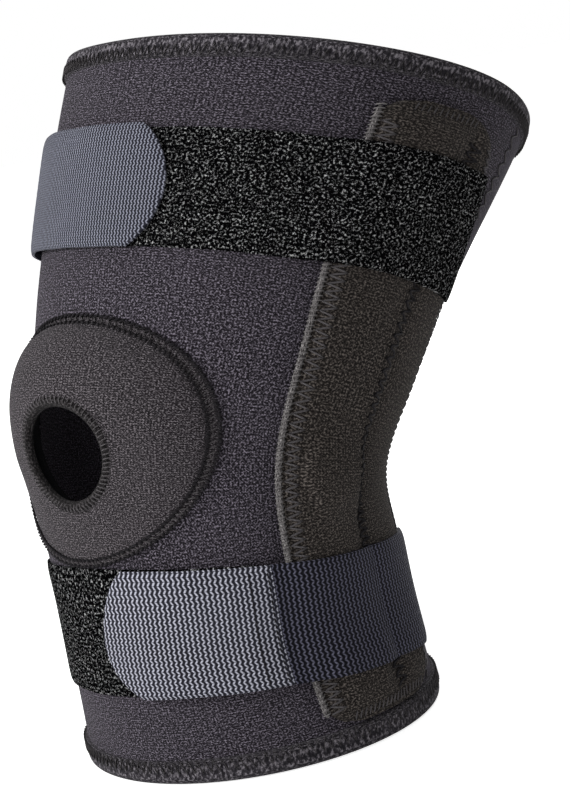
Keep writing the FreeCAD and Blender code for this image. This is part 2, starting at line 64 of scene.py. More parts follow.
MM = 0.001
CM = 100
SPARE = 1e-12
OFF_AXIS = np.array([0.31, 0.22, 0.93])
THREAD_TIP = 0.45
Colour = tuple[float, float, float]


# ------------------------------------------------------------------ the leg that it is moulded for

@dataclass(frozen=True)
class Section:
    """One oval section of the leg.

    Attributes:
        level: distance along the limb: from the bottom rim on the calf, from the hinge axis above.
        lean: how far the section's limb leans back, in degrees.
        front: from the limb's axis to the front.
        back: from the limb's axis to the back.
        half: half the width.
    """

    level: float
    lean: float
    front: float
    back: float
    half: float


def eased(knots: np.ndarray, values: np.ndarray, at: np.ndarray) -> np.ndarray:
    """Smooth curve through knots, with slopes taken from each knot's neighbours.

    Args:
        knots: rising places of the knots.
        values: values at the knots, one row each.
        at: the places to read.

    Returns:
        The curve's values, one row for each place.
    """
    values = np.asarray(values, float).reshape(len(knots), -1)
    steps = np.diff(knots)
    slopes = np.diff(values, axis=0) / steps[:, None]
    tangents = np.empty_like(values)
    tangents[0], tangents[-1] = slopes[0], slopes[-1]
    weight = (steps[:-1] / (steps[:-1] + steps[1:]))[:, None]
    tangents[1:-1] = slopes[:-1] * (1 - weight) + slopes[1:] * weight
    at = np.asarray(at, float)
    low = np.clip(np.searchsorted(knots, at.ravel(), side="right") - 1, 0, len(steps) - 1)
    t = ((at.ravel() - knots[low]) / steps[low])[:, None]
    span = steps[low][:, None]
    curve = ((2 * t**3 - 3 * t**2 + 1) * values[low] + (t**3 - 2 * t**2 + t) * span * tangents[low]
             + (3 * t**2 - 2 * t**3) * values[low + 1] + (t**3 - t**2) * span * tangents[low + 1])
    return curve.reshape(at.shape + (values.shape[1],))


def smoothstep(low: float, high: float, value: np.ndarray) -> np.ndarray:
    """A ramp from 0 to 1 that is level at both ends."""
    t = np.clip((np.asarray(value, float) - low) / (high - low), 0, 1)
    return t * t * (3 - 2 * t)


def above(value: np.ndarray, soft: float) -> np.ndarray:
    """A value where it is above 0, and 0 below, with a soft turn."""
    return 0.5 * (value + np.sqrt(value**2 + soft**2))


def walked(points: np.ndarray) -> np.ndarray:
    """Distance along a line of points from its first to each of them."""
    return np.concatenate([[0.0], np.cumsum(np.linalg.norm(np.diff(points, axis=0), axis=1))])


def unit(vectors: np.ndarray, spare: float = 0.0) -> np.ndarray:
    """Vectors scaled to length 1, with a little to spare where one may be empty."""
    return vectors / (np.linalg.norm(vectors, axis=-1, keepdims=True) + spare)


@dataclass
class LegForm:
    """The leg that the brace is moulded for, as sections along a bent axis.

    Attributes:
        calf: sections below the hinge.
        knee: the section at the hinge.
        thigh: sections above it.
        rim: distance of the top rim above the hinge.
        slant_back: how far the courses climb for each metre towards the back.
        slant_side: how far for each metre towards the outer side.
        slant_inner: how far for each metre towards the inner side, beyond a soft start.
        slant_rise: how far they climb everywhere.
        slant_start: distance above the hinge at which they start to climb.
        slant_full: distance at which they climb in full.
        level_share: share of the climb that is lost behind the leg.
        level_start: how far behind the leg's middle the loss starts.
        inner_start: how far inwards of the middle the inner climb starts.
        soft_turn: length over which both turn.
    """

    bend: float = 31.0
    calf: tuple[Section, ...] = (
        Section(0.0, 0, 0.063, 0.072, 0.072), Section(0.050, 0, 0.064, 0.071, 0.065),
        Section(0.064, 0, 0.063, 0.069, 0.066))
    knee: Section = Section(0.0, 15.5, 0.062, 0.065, 0.072)
    thigh: tuple[Section, ...] = (
        Section(0.045, 31, 0.070, 0.064, 0.081), Section(0.095, 31, 0.077, 0.080, 0.087),
        Section(0.148, 31, 0.080, 0.096, 0.095), Section(0.175, 31, 0.0815, 0.102, 0.097))
    rim: float = 0.148
    slant_back: float = 0.149
    slant_side: float = -0.020
    slant_inner: float = 0.085
    slant_rise: float = 0.0103
    slant_start: float = 0.008
    slant_full: float = 0.066
    level_share: float = 0.95
    level_start: float = 0.025
    inner_start: float = 0.01
    soft_turn: float = 0.02
    knee_level: float = field(init=False)

    def __post_init__(self) -> None:
        """Read the hinge axis from the frame and lay out the sections' front and back points."""
        joints = frame["record"]["behaviour"]["joints"]
        hinge = next(joint for joint in joints if joint["name"] == "knee_flexion")
        self.knee_level = hinge["pos_m"][2]
        pivot = np.array([0.0, self.knee_level])
        rows, places = [], []
        for section in (*self.calf, self.knee, *self.thigh):
            lean = math.radians(section.lean)
            along = np.array([math.sin(lean), math.cos(lean)])
            across = np.array([math.cos(lean), -math.sin(lean)])
            on_calf = section in self.calf
            axis = np.array([0.0, section.level]) if on_calf else pivot + along * section.level
            places.append(section.level if on_calf else self.knee_level + section.level)
            rows.append([*(axis - across * section.front), *(axis + across * section.back), section.half])
        self.places, self.rows = np.array(places), np.array(rows)
        self.length = self.knee_level + self.rim

    def point(self, along: np.ndarray, angle: np.ndarray, height: np.ndarray = 0.0) -> np.ndarray:
        """Places on the leg.

        Args:
            along: distance from the bottom rim along the bent leg.
            angle: degrees from the front towards the outer side.
            height: above the sleeve's outer face.

        Returns:
            Points, with the coordinates in the last axis.
        """
        along, angle, height = np.broadcast_arrays(*(np.asarray(v, float) for v in (along, angle, height)))
        row = eased(self.places, self.rows, along + self.slant(along, angle))
        front, back, half = row[..., 0:2], row[..., 2:4], row[..., 4]
        middle, reach = (front + back) / 2, (back - front) / 2
        depth = np.linalg.norm(reach, axis=-1)
        turn = np.radians(angle)
        side = np.sin(turn) * (half + height)
        flat = middle - (np.cos(turn) * (depth + height) / depth)[..., None] * reach
        return np.concatenate([side[..., None], flat], axis=-1)

    def slant(self, along: np.ndarray, angle: np.ndarray) -> np.ndarray:
        """How much further up the thigh a course lies than the thigh's own square section.

        Args:
            along: distance from the bottom rim along the bent leg.
            angle: degrees from the front towards the outer side.

        Returns:
            The climb at each place.
        """
        row = eased(self.places, self.rows, along)
        depth = np.linalg.norm(row[..., 2:4] - row[..., 0:2], axis=-1) / 2
        turn = np.radians(angle)
        share = smoothstep(self.knee_level + self.slant_start, self.knee_level + self.slant_full, along)
        behind, out = -np.cos(turn) * depth, np.sin(turn) * row[..., 4]
        levelled = behind - self.level_share * above(behind - self.level_start, self.soft_turn)
        return share * (self.slant_rise + self.slant_back * levelled + self.slant_side * out
                        + self.slant_inner * above(-out - self.inner_start, self.soft_turn))

    def arc(self, along: float, angles: np.ndarray, height: float = 0.0) -> np.ndarray:
        """Distance round the leg from the first of the angles to each of them."""
        return walked(self.point(along, angles, height))

    def angle_after(self, along: float, start: float, distance: np.ndarray) -> np.ndarray:
        """The angle reached after a distance round the leg, either way.

        Args:
            along: distance from the bottom rim along the bent leg.
            start: the angle to start from.
            distance: walked towards the outer side, or the inner side where it is negative.

        Returns:
            The angles reached.
        """
        angles = start + np.linspace(-200, 200, 401)
        round_leg = self.arc(along, angles)
        round_leg -= np.interp(start, angles, round_leg)
        return np.interp(distance, round_leg, angles)

    def scale(self, along: float, angle: float, height: float) -> tuple[float, float]:
        """Metres on the surface for one metre along, and for one degree round.

        Args:
            along: distance from the bottom rim along the bent leg.
            angle: degrees from the front towards the outer side.
            height: above the sleeve's outer face.

        Returns:
            The two lengths.
        """
        here = self.point(along, angle, height)
        up = np.linalg.norm(self.point(along + MM, angle, height) - here) / MM
        turned = float(np.linalg.norm(self.point(along, angle + 1, height) - here))
        return float(up), turned


# ------------------------------------------------------------------ mesh making

class Layer(Enum):
    """Which face of a cloth shell a polygon belongs to, and so its material slot."""

    OUTSIDE = 0
    INSIDE = 1
    EDGE = 2


def grid_faces(rows: int, columns: int, wrap: bool = False) -> list[tuple[int, int, int, int]]:
    """Quads between neighbouring points of a grid stored row by row."""
    last = columns if wrap else columns - 1
    return [(r * columns + c, r * columns + (c + 1) % columns, (r + 1) * columns + (c + 1) % columns,
             (r + 1) * columns + c) for r in range(rows - 1) for c in range(last)]


def new_mesh(name: str, points: np.ndarray, faces: Sequence[Sequence[int]], uv: np.ndarray | None = None,
             slots: Sequence[int] | None = None) -> bpy.types.Object:
    """A smooth-shaded mesh object.

    Args:
        name: the piece's name.
        points: its vertices.
        faces: its polygons.
        uv: centimetres of cloth at each vertex, along and across.
        slots: the material slot of each polygon.

    Returns:
        The object, linked to the scene.
    """
    mesh = bpy.data.meshes.new(name)
    mesh.from_pydata(np.asarray(points).tolist(), [], [tuple(face) for face in faces])
    mesh.polygons.foreach_set("use_smooth", [True] * len(mesh.polygons))
    if slots is not None:
        mesh.polygons.foreach_set("material_index", list(slots))
    if uv is not None:
        corners = np.empty(len(mesh.loops), dtype=np.int32)
        mesh.loops.foreach_get("vertex_index", corners)
        layer = mesh.uv_layers.new(name="cloth")
        layer.data.foreach_set("uv", np.asarray(uv, float)[corners].ravel())
    mesh.update()
    piece = bpy.data.objects.new(name, mesh)
    bpy.context.scene.collection.objects.link(piece)
    return piece


def cloth_shell(name: str, outside: np.ndarray, inside: np.ndarray, faces: Sequence[Sequence[int]],
                uv: np.ndarray) -> bpy.types.Object:
    """A closed layer of cloth between two faces that share one layout.

    Args:
        name: the piece's name.
        outside: points of the outer face.
        inside: the matching points of the inner face.
        faces: polygons of the outer face.
        uv: centimetres of cloth at each point.

    Returns:
        The shell, with its outside, inside and cut edge in three material slots.
    """
    count = len(outside)
    edges: dict[tuple[int, int], int] = {}
    for face in faces:
        for a, b in zip(face, (*face[1:], face[0])):
            edges[(a, b)] = edges.get((a, b), 0) + 1
    rim = [(a, b) for a, b in edges if (b, a) not in edges]
    walls = [(b, a, a + count, b + count) for a, b in rim]
    back = [tuple(i + count for i in reversed(face)) for face in faces]
    slots = ([Layer.OUTSIDE.value] * len(faces) + [Layer.INSIDE.value] * len(back)
             + [Layer.EDGE.value] * len(walls))
    points = np.concatenate([outside, inside])
    piece = new_mesh(name, points, [*faces, *back, *walls], np.concatenate([uv, uv]), slots)
    facing_out(piece)
    mark_edges(piece)
    return piece


def facing_out(piece: bpy.types.Object) -> None:
    """Turn a closed mesh's faces outwards.

    Args:
        piece: the object to turn.
    """
    mesh = piece.data
    mesh.calc_loop_triangles()
    points = np.array([v.co for v in mesh.vertices])
    corners = np.array([t.vertices for t in mesh.loop_triangles])
    a, b, c = points[corners[:, 0]], points[corners[:, 1]], points[corners[:, 2]]
    if float((a * np.cross(b, c)).sum()) < 0:
        mesh.flip_normals()


def mark_edges(piece: bpy.types.Object) -> None:
    """Keep the turn between a shell's faces and its cut edge crisp.

    Args:
        piece: a shell whose outside, inside and edge have slots of their own.
    """
    mesh = piece.data
    slots = [p.material_index for p in mesh.polygons]
    by_edge: dict[tuple[int, int], set[int]] = {}
    for polygon in mesh.polygons:
        for key in polygon.edge_keys:
            by_edge.setdefault(key, set()).add(slots[polygon.index])
    sharp = mesh.attributes.new("sharp_edge", "BOOLEAN", "EDGE")
    sharp.data.foreach_set("value", [len(by_edge[tuple(sorted(e.vertices))]) > 1 for e in mesh.edges])


def tubes(name: str, paths: Sequence[np.ndarray], radius: float, sides: int = 6) -> bpy.types.Object:
    """Round threads along paths, each closed at both ends.

    Args:
        name: the piece's name.
        paths: the centre lines, as rows of points.
        radius: of the thread.
        sides: flats round it.

    Returns:
        One mesh that holds all the threads.
    """
    points, faces, uv = [], [], []
    turn = np.linspace(0, 2 * np.pi, sides, endpoint=False)
    start = 0
    for path in paths:
        path = np.asarray(path, float)
        heading = unit(np.gradient(path, axis=0), SPARE)
        side = unit(np.cross(heading, OFF_AXIS), SPARE)
        other = np.cross(heading, side)
        ring = (np.cos(turn)[None, :, None] * side[:, None] + np.sin(turn)[None, :, None] * other[:, None])
        taper = np.ones(len(path))
        taper[0] = taper[-1] = THREAD_TIP
        points.append((path[:, None] + ring * radius * taper[:, None, None]).reshape(-1, 3))
        run = walked(path) * CM
        uv.append(np.stack(np.broadcast_arrays(run[:, None], turn[None] / (2 * np.pi)), axis=-1).reshape(-1, 2))
        faces += [tuple(start + i for i in quad) for quad in grid_faces(len(path), sides, wrap=True)]
        faces.append(tuple(start + i for i in reversed(range(sides))))
        end = start + (len(path) - 1) * sides
        faces.append(tuple(end + i for i in range(sides)))
        start += len(path) * sides
    return new_mesh(name, np.concatenate(points), faces, np.concatenate(uv))


def ring_tube(name: str, centres: np.ndarray, across: np.ndarray, out: np.ndarray, width: float,
              depth: float, squareness: float = 1.0, sides: int = 20) -> bpy.types.Object:
    """A closed ring with an oval or squared-off section.

    Args:
        name: the piece's name.
        centres: centre line, as rows of points, without a repeated end.
        across: unit vectors along the section's width, one for each point.
        out: unit vectors along its depth.
        width: half the section's width.
        depth: half its depth.
        squareness: below 1 the section is squared off.
        sides: points round the section.

    Returns:
        The ring.
    """
    turn = np.linspace(0, 2 * np.pi, sides, endpoint=False)
    flat = np.sign(np.cos(turn)) * np.abs(np.cos(turn)) ** squareness * width
    deep = np.sign(np.sin(turn)) * np.abs(np.sin(turn)) ** squareness * depth
    points = centres[:, None] + across[:, None] * flat[None, :, None] + out[:, None] * deep[None, :, None]
    count = len(centres)
    faces = [(r * sides + c, r * sides + (c + 1) % sides, ((r + 1) % count) * sides + (c + 1) % sides,
              ((r + 1) % count) * sides + c) for r in range(count) for c in range(sides)]
    run = walked(centres) * CM
    girth = turn / (2 * np.pi) * (width + depth) * 4 * CM
    uv = np.stack(np.broadcast_arrays(run[:, None], girth[None]), axis=-1).reshape(-1, 2)
    piece = new_mesh(name, points.reshape(-1, 3), faces, uv)
    facing_out(piece)
    return piece


# ------------------------------------------------------------------ shader groups

class GroupMaker:
    """Builds one shader node group with named inputs and outputs."""

    def __init__(self, name: str, inputs: dict[str, object], outputs: dict[str, str]) -> None:
        """Make an empty group.

        Args:
            name: the group's name.
            inputs: default value by socket name: a number, a colour of four or "vector".
            outputs: "Float" or "Color" by socket name.
        """
        self.tree = bpy.data.node_groups.new(name, "ShaderNodeTree")
        for socket, value in inputs.items():
            kind = {float: "Float", tuple: "Color", str: "Vector"}[type(value)]
            made = self.tree.interface.new_socket(name=socket, in_out="INPUT", socket_type=f"NodeSocket{kind}")
            if kind != "Vector":
                made.default_value = value
        for socket, kind in outputs.items():
            self.tree.interface.new_socket(name=socket, in_out="OUTPUT", socket_type=f"NodeSocket{kind}")
        self.source = self.tree.nodes.new("NodeGroupInput")
        self.sink = self.tree.nodes.new("NodeGroupOutput")
        self.graph = Graph(self.tree)

    def given(self, socket: str) -> bpy.types.NodeSocket:
        """One of the group's inputs."""
        return self.source.outputs[socket]

    def give(self, socket: str, value: bpy.types.NodeSocket) -> None:
        """Send a value out of the group."""
        self.tree.links.new(value, self.sink.inputs[socket])


class Graph:
    """Short ways to add nodes to a tree."""

    def __init__(self, tree: bpy.types.NodeTree) -> None:
        """Work on a node tree."""
        self.tree = tree

    def add(self, kind: str, inputs: dict[str | int, object] | None = None,
            **settings: object) -> bpy.types.Node:
        """Add a node.

        Args:
            kind: the node's type.
            inputs: a socket to link or a value to set, by the input's name or number.
            settings: the node's properties.

        Returns:
            The node.
        """
        node = self.tree.nodes.new(kind)
        for key, value in settings.items():
            setattr(node, key, value)
        for key, value in (inputs or {}).items():
            if isinstance(value, bpy.types.NodeSocket):
                self.tree.links.new(value, node.inputs[key])
            else:
                node.inputs[key].default_value = value
        return node

    def math(self, operation: str, first: object, second: object = 0.0) -> bpy.types.NodeSocket:
        """A Math node's result."""
        return self.add("ShaderNodeMath", {0: first, 1: second}, operation=operation).outputs[0]

    def wave(self, turns: bpy.types.NodeSocket) -> bpy.types.NodeSocket:
        """The sine of a number of whole turns."""
        return self.math("SINE", self.math("MULTIPLY", turns, 2 * math.pi))

    def line(self, value: bpy.types.NodeSocket, width: float) -> bpy.types.NodeSocket:
        """1 where a noise passes through its middle, 0 from a width beside it."""
        return self.math("SUBTRACT", 1.0,
                         self.ramp(self.math("ABSOLUTE", self.math("SUBTRACT", value, 0.5)), 0.0, width))

    def noise(self, place: bpy.types.NodeSocket, scale: object, detail: float = 2.0,
              roughness: float = 0.5) -> bpy.types.NodeSocket:
        """Soft noise from 0 to 1.

        Args:
            place: where it is read.
            scale: of its lumps.
            detail: how many finer layers it has.
            roughness: how strong they are.

        Returns:
            The noise.
        """
        node = self.add("ShaderNodeTexNoise", {"Vector": place, "Scale": scale, "Detail": detail,
                                               "Roughness": roughness})
        return node.outputs["Fac"]

    def ramp(self, value: bpy.types.NodeSocket, low: object, high: object) -> bpy.types.NodeSocket:
        """A value stretched so that low becomes 0 and high becomes 1."""
        node = self.add("ShaderNodeMapRange", {"Value": value, "From Min": low, "From Max": high})
        return node.outputs["Result"]

    def mix(self, share: object, first: object, second: object) -> bpy.types.NodeSocket:
        """Two colours mixed.

        Args:
            share: of the second colour.
            first: a colour or a socket.
            second: a colour or a socket.

        Returns:
            The mixed colour.
        """
        node = self.add("ShaderNodeMix", data_type="RGBA")
        for socket, value in (("Factor_Float", share), ("A_Color", first), ("B_Color", second)):
            target = next(s for s in node.inputs if s.identifier == socket)
            if isinstance(value, bpy.types.NodeSocket):
                self.tree.links.new(value, target)
            else:
                target.default_value = value
        return next(s for s in node.outputs if s.identifier == "Result_Color")

    def stretched(self, place: bpy.types.NodeSocket, factors: object) -> bpy.types.NodeSocket:
        """A place scaled apart along each axis."""
        return self.add("ShaderNodeVectorMath", {0: place, 1: factors}, operation="MULTIPLY").outputs[0]

    def split(self, place: bpy.types.NodeSocket) -> tuple[bpy.types.NodeSocket, bpy.types.NodeSocket]:
        """The first two coordinates of a place."""
        node = self.add("ShaderNodeSeparateXYZ", {0: place})
        return node.outputs[0], node.outputs[1]


def knit_group() -> bpy.types.NodeTree:
    """Fine jersey: columns of small stitches with a soft random grain.

    Returns:
        The shader group.
    """
    maker = GroupMaker("knit_grain", {"Place": "vector", "Stitches": 8.0, "Grain": 1.0},
                       {"Height": "Float", "Fleck": "Float"})
    g = maker.graph
    x, y = g.split(maker.given("Place"))
    stitches = maker.given("Stitches")
    lean = g.math("PINGPONG", g.math("MULTIPLY", x, stitches), 0.5)
    rows = g.math("ADD", g.math("MULTIPLY", y, stitches), lean)
    wave = g.wave(rows)
    column = g.wave(g.math("MULTIPLY", x, stitches))
    loops = g.math("ADD", g.math("MULTIPLY", wave, 0.3), g.math("MULTIPLY", column, 0.2))
    lumps = g.stretched(maker.given("Place"), (1.0, 1.4, 1.0))
    grain = g.noise(lumps, g.math("MULTIPLY", stitches, 1.2), 3.0, 0.75)
    rough = g.math("MULTIPLY", g.math("SUBTRACT", grain, 0.5), maker.given("Grain"))
    maker.give("Height", g.math("ADD", g.math("MULTIPLY", loops, 0.5), g.math("MULTIPLY", rough, 2.0)))
    maker.give("Fleck", g.ramp(g.math("ADD", rough, g.math("MULTIPLY", loops, 0.10)), -0.12, 0.15))
    return maker.tree


def tone_group() -> bpy.types.NodeTree:
    """Slow changes of tone over a cloth, paler where its fleck value is high and darker where it is low.

    Returns:
        The shader group.
    """
    maker = GroupMaker("cloth_tone", {"Place": "vector", "Cloth": (0.05, 0.05, 0.05, 1.0),
                                      "Pale": (0.1, 0.1, 0.1, 1.0), "Dark": (0.02, 0.02, 0.02, 1.0),
                                      "Fleck": 0.5, "Patches": 0.4},
                       {"Color": "Color"})
    g = maker.graph
    patch = g.ramp(g.noise(maker.given("Place"), maker.given("Patches"), 4.0, 0.6), 0.3, 0.7)
    slow = g.mix(g.math("MULTIPLY", patch, 0.45), maker.given("Cloth"), maker.given("Dark"))
    fleck = maker.given("Fleck")
    lifted = g.mix(g.math("MULTIPLY", g.ramp(fleck, 0.45, 1.0), 0.85), slow, maker.given("Pale"))
    maker.give("Color", g.mix(g.math("MULTIPLY", g.ramp(fleck, 0.5, 0.0), 0.7), lifted, maker.given("Dark")))
    return maker.tree


def zigzag_group() -> bpy.types.NodeTree:
    """Woven elastic: ribs along the strap, each with slanting yarns that turn at the next rib.

    Returns:
        The shader group.
    """
    maker = GroupMaker("zigzag_weave", {"Place": "vector", "Ribs": 3.4, "Yarns": 6.5, "Slant": 1.0},
                       {"Height": "Float", "Yarn": "Float"})
    g = maker.graph
    x, y = g.split(maker.given("Place"))
    rib = g.math("MULTIPLY", y, maker.given("Ribs"))
    turn = g.math("MULTIPLY", g.math("PINGPONG", rib, 0.5), maker.given("Slant"))
    wobble = g.math("MULTIPLY", g.noise(maker.given("Place"), 9.0, 2.0), 0.16)
    line = g.math("ADD", g.math("ADD", g.math("MULTIPLY", x, maker.given("Yarns")), turn), wobble)
    yarn = g.math("ADD", g.math("MULTIPLY", g.wave(line), 0.5), 0.5)
    turns = g.math("ABSOLUTE", g.wave(rib))
    body = g.math("MULTIPLY", yarn, g.ramp(turns, -0.6, 0.5))
    fuzz = g.math("MULTIPLY", g.noise(maker.given("Place"), 14.0, 2.0, 0.7), 0.55)
    maker.give("Height", g.math("ADD", body, fuzz))
    maker.give("Yarn", g.ramp(g.math("ADD", body, g.math("SUBTRACT", fuzz, 0.27)), 0.10, 0.95))
    return maker.tree


def pile_group() -> bpy.types.NodeTree:
    """Brushed loop pile: a dark tangle with loops standing out of it, bright where the finish gives them a pale
    colour; on the loop strips that near-white colour is a painted glint.

    Returns:
        The shader group.
    """
    maker = GroupMaker("loop_pile", {"Place": "vector", "Loops": 11.0, "Bright": 0.62},
                       {"Height": "Float", "Loop": "Float"})
    g = maker.graph
    place = maker.given("Place")
    loops = maker.given("Loops")
    curl = g.noise(place, loops, 1.5, 0.6)
    other = g.noise(g.stretched(place, (-1.3, 1.1, 1.0)), g.math("MULTIPLY", loops, 0.9), 1.5, 0.6)
    tangle = g.math("MAXIMUM", g.line(curl, 0.045), g.line(other, 0.035))
    clumps = g.noise(g.stretched(place, (1.0, -1.0, 1.0)), g.math("MULTIPLY", loops, 1.6), 2.0, 0.6)
    broken = g.ramp(clumps, maker.given("Bright"), 0.62)
    maker.give("Height", g.math("ADD", g.math("MULTIPLY", tangle, 0.8), curl))
    maker.give("Loop", g.math("MULTIPLY", tangle, broken))
    return maker.tree


GROUPS = {"knit_grain": knit_group, "cloth_tone": tone_group, "zigzag_weave": zigzag_group,
          "loop_pile": pile_group}


def group(name: str) -> bpy.types.NodeTree:
    """One of the shared shader groups, built the first time that it is asked for."""
    return bpy.data.node_groups.get(name) or GROUPS[name]()


# ------------------------------------------------------------------ finishes

def opaque(colour: Colour) -> tuple[float, float, float, float]:
    """A colour with full alpha."""
    return (*colour, 1.0)


class Bench:
    """One material's nodes: a Principled shader, cloth coordinates and a bump."""

    def __init__(self, name: str, roughness: float, sheen: float = 0.0, metallic: float = 0.0,
                 gloss: float = 0.06) -> None:
        """Start a material.

        Args:
            name: of the finish.
            roughness: of its surface.
            sheen: soft glow of cloth fibres at a glancing view.
            metallic: 1 for bare metal.
            gloss: specular level, low for cloth.
        """
        self.material = bpy.data.materials.new(name)
        self.material.use_nodes = True
        self.tree = self.material.node_tree
        self.graph = Graph(self.tree)
        self.shader = next(n for n in self.tree.nodes if n.type == "BSDF_PRINCIPLED")
        self.shader.inputs["Roughness"].default_value = roughness
        self.shader.inputs["Metallic"].default_value = metallic
        self.shader.inputs["Sheen Weight"].default_value = sheen
        self.shader.inputs["Specular IOR Level"].default_value = gloss
        self.shader.inputs["Sheen Roughness"].default_value = 0.45
        self.place = self.graph.add("ShaderNodeTexCoord").outputs["UV"]

    def use(self, name: str, **inputs: object) -> bpy.types.Node:
        """Place a shared group, reading the cloth's own coordinates.

        Args:
            name: of the group.
            inputs: a socket to link or a value to set, by socket name.

        Returns:
            The group's node.
        """
        node = self.graph.add("ShaderNodeGroup", node_tree=group(name))
        self.tree.links.new(self.place, node.inputs["Place"])
        for key, value in inputs.items():
            if isinstance(value, bpy.types.NodeSocket):
                self.tree.links.new(value, node.inputs[key])
            else:
                node.inputs[key].default_value = value
        return node

    def paint(self, colour: bpy.types.NodeSocket) -> None:
        """Feed the base colour."""
        self.tree.links.new(colour, self.shader.inputs["Base Color"])

    def bump(self, height: bpy.types.NodeSocket, depth: float) -> None:
        """Feed a bump of a depth in metres."""
        node = self.graph.add("ShaderNodeBump", {"Height": height, "Strength": 1.0, "Distance": depth})
        self.tree.links.new(node.outputs["Normal"], self.shader.inputs["Normal"])


@dataclass(frozen=True)
class KnitFinish:
    """Jersey face of a laminated cloth."""

    name: str
    cloth: Colour
    pale: Colour
    dark: Colour
    stitches: float = 11.0
    grain: float = 1.0
    depth: float = 0.00035
    roughness: float = 0.82
    sheen: float = 0.03

    def make(self) -> bpy.types.Material:
        """Build the material.

        Returns:
            The material.
        """
        bench = Bench(self.name, self.roughness, self.sheen)
        knit = bench.use("knit_grain", Stitches=self.stitches, Grain=self.grain)
        tone = bench.use("cloth_tone", Cloth=opaque(self.cloth), Pale=opaque(self.pale), Dark=opaque(self.dark),
                         Fleck=knit.outputs["Fleck"])
        bench.paint(tone.outputs["Color"])
        bench.bump(knit.outputs["Height"], self.depth)
        return bench.material


@dataclass(frozen=True)
class ElasticFinish:
    """Woven strap elastic with slanting yarns."""

    name: str
    cloth: Colour
    pale: Colour
    dark: Colour
    ribs: float = 3.4
    yarns: float = 6.5
    slant: float = 1.0
    depth: float = 0.0004
    roughness: float = 0.7
    sheen: float = 0.02

    def make(self) -> bpy.types.Material:
        """Build the material.

        Returns:
            The material.
        """
        bench = Bench(self.name, self.roughness, self.sheen)
        weave = bench.use("zigzag_weave", Ribs=self.ribs, Yarns=self.yarns, Slant=self.slant)
        tone = bench.use("cloth_tone", Cloth=opaque(self.cloth), Pale=opaque(self.pale), Dark=opaque(self.dark),
                         Fleck=weave.outputs["Yarn"])
        bench.paint(tone.outputs["Color"])
        bench.bump(weave.outputs["Height"], self.depth)
        return bench.material


@dataclass(frozen=True)
class PileFinish:
    """Loop side of a hook-and-loop fastening, or the hooks when it is fine and dull."""

    name: str
    cloth: Colour
    loop: Colour
    loops: float = 11.0
    bright: float = 0.6
    depth: float = 0.0011
    roughness: float = 0.75

    def make(self) -> bpy.types.Material:
        """Build the material.

        Returns:
            The material.
        """
        bench = Bench(self.name, self.roughness, 0.0, gloss=0.0)
        pile = bench.use("loop_pile", Loops=self.loops, Bright=self.bright)
        bench.paint(bench.graph.mix(pile.outputs["Loop"], opaque(self.cloth), opaque(self.loop)))
        bench.bump(pile.outputs["Height"], self.depth)
        return bench.material


@dataclass(frozen=True)
class ThreadFinish:
    """Twisted sewing thread."""

    name: str
    thread: Colour
    shade: Colour

    def make(self) -> bpy.types.Material:
        """Build the material.

        Returns:
            The material.
        """
        bench = Bench(self.name, 0.6)
        graph = bench.graph
        run, girth = graph.split(bench.place)
        twist = graph.wave(graph.math("ADD", graph.math("MULTIPLY", run, 22.0), girth))
        bench.paint(graph.mix(graph.ramp(twist, -1.0, 1.0), opaque(self.shade), opaque(self.thread)))
        bench.bump(twist, 0.0001)
        return bench.material


@dataclass(frozen=True)
class HardFinish:
    """Steel or plastic, with fine scratches and a little wear."""

    name: str
    body: Colour
    worn: Colour
    roughness: float
    metallic: float = 0.0

    def make(self) -> bpy.types.Material:
        """Build the material.

        Returns:
            The material.
        """
        bench = Bench(self.name, self.roughness, metallic=self.metallic, gloss=0.5)
        graph = bench.graph
        place = graph.add("ShaderNodeTexCoord").outputs["Object"]
        brushed = graph.noise(graph.stretched(place, (900.0, 900.0, 60.0)), 1.0, 3.0, 0.6)
        rubbed = graph.ramp(graph.noise(place, 90.0, 3.0), 0.45, 0.7)
        bench.paint(graph.mix(rubbed, opaque(self.body), opaque(self.worn)))
        bench.tree.links.new(graph.ramp(brushed, -0.6, 1.9), bench.shader.inputs["Roughness"])
        bench.bump(brushed, 0.00003)
        return bench.material


SLEEVE = KnitFinish("sleeve_jersey", cloth=(0.021, 0.018, 0.0235), pale=(0.290, 0.258, 0.315),
                    dark=(0.002, 0.0015, 0.0025), stitches=9.0)
DOME = KnitFinish("patella_knit", cloth=(0.0285, 0.0245, 0.028), pale=(0.280, 0.252, 0.272),
                  dark=(0.003, 0.0025, 0.003), stitches=9.0)
PANEL = KnitFinish("side_jersey", cloth=(0.021, 0.0175, 0.0160), pale=(0.190, 0.165, 0.148),
                   dark=(0.002, 0.0015, 0.0015), stitches=9.0)
BACK = KnitFinish("back_knit", cloth=(0.038, 0.032, 0.044), pale=(0.140, 0.122, 0.155),
                  dark=(0.008, 0.007, 0.010), stitches=6.5, grain=0.7)
LINING = KnitFinish("lining_jersey", cloth=(0.030, 0.030, 0.035), pale=(0.090, 0.090, 0.100),
                    dark=(0.009, 0.009, 0.011))
NEOPRENE_EDGE = KnitFinish("neoprene_edge", cloth=(0.018, 0.018, 0.020), pale=(0.045, 0.045, 0.048),
                           dark=(0.008, 0.008, 0.009))
TAPE = KnitFinish("binding_tape", cloth=(0.040, 0.036, 0.043), pale=(0.260, 0.240, 0.265),
                  dark=(0.004, 0.004, 0.005), stitches=5.5, grain=1.1, depth=0.0006)
CORD = KnitFinish("edge_cord", cloth=(0.120, 0.112, 0.112), pale=(0.420, 0.400, 0.396),
                  dark=(0.012, 0.010, 0.010), stitches=7.0, grain=1.0, depth=0.0003)
RIM_TAPE = KnitFinish("rim_tape", cloth=(0.012, 0.0105, 0.011), pale=(0.090, 0.082, 0.085),
                      dark=(0.003, 0.003, 0.003), stitches=6.0, grain=1.0, depth=0.0004)
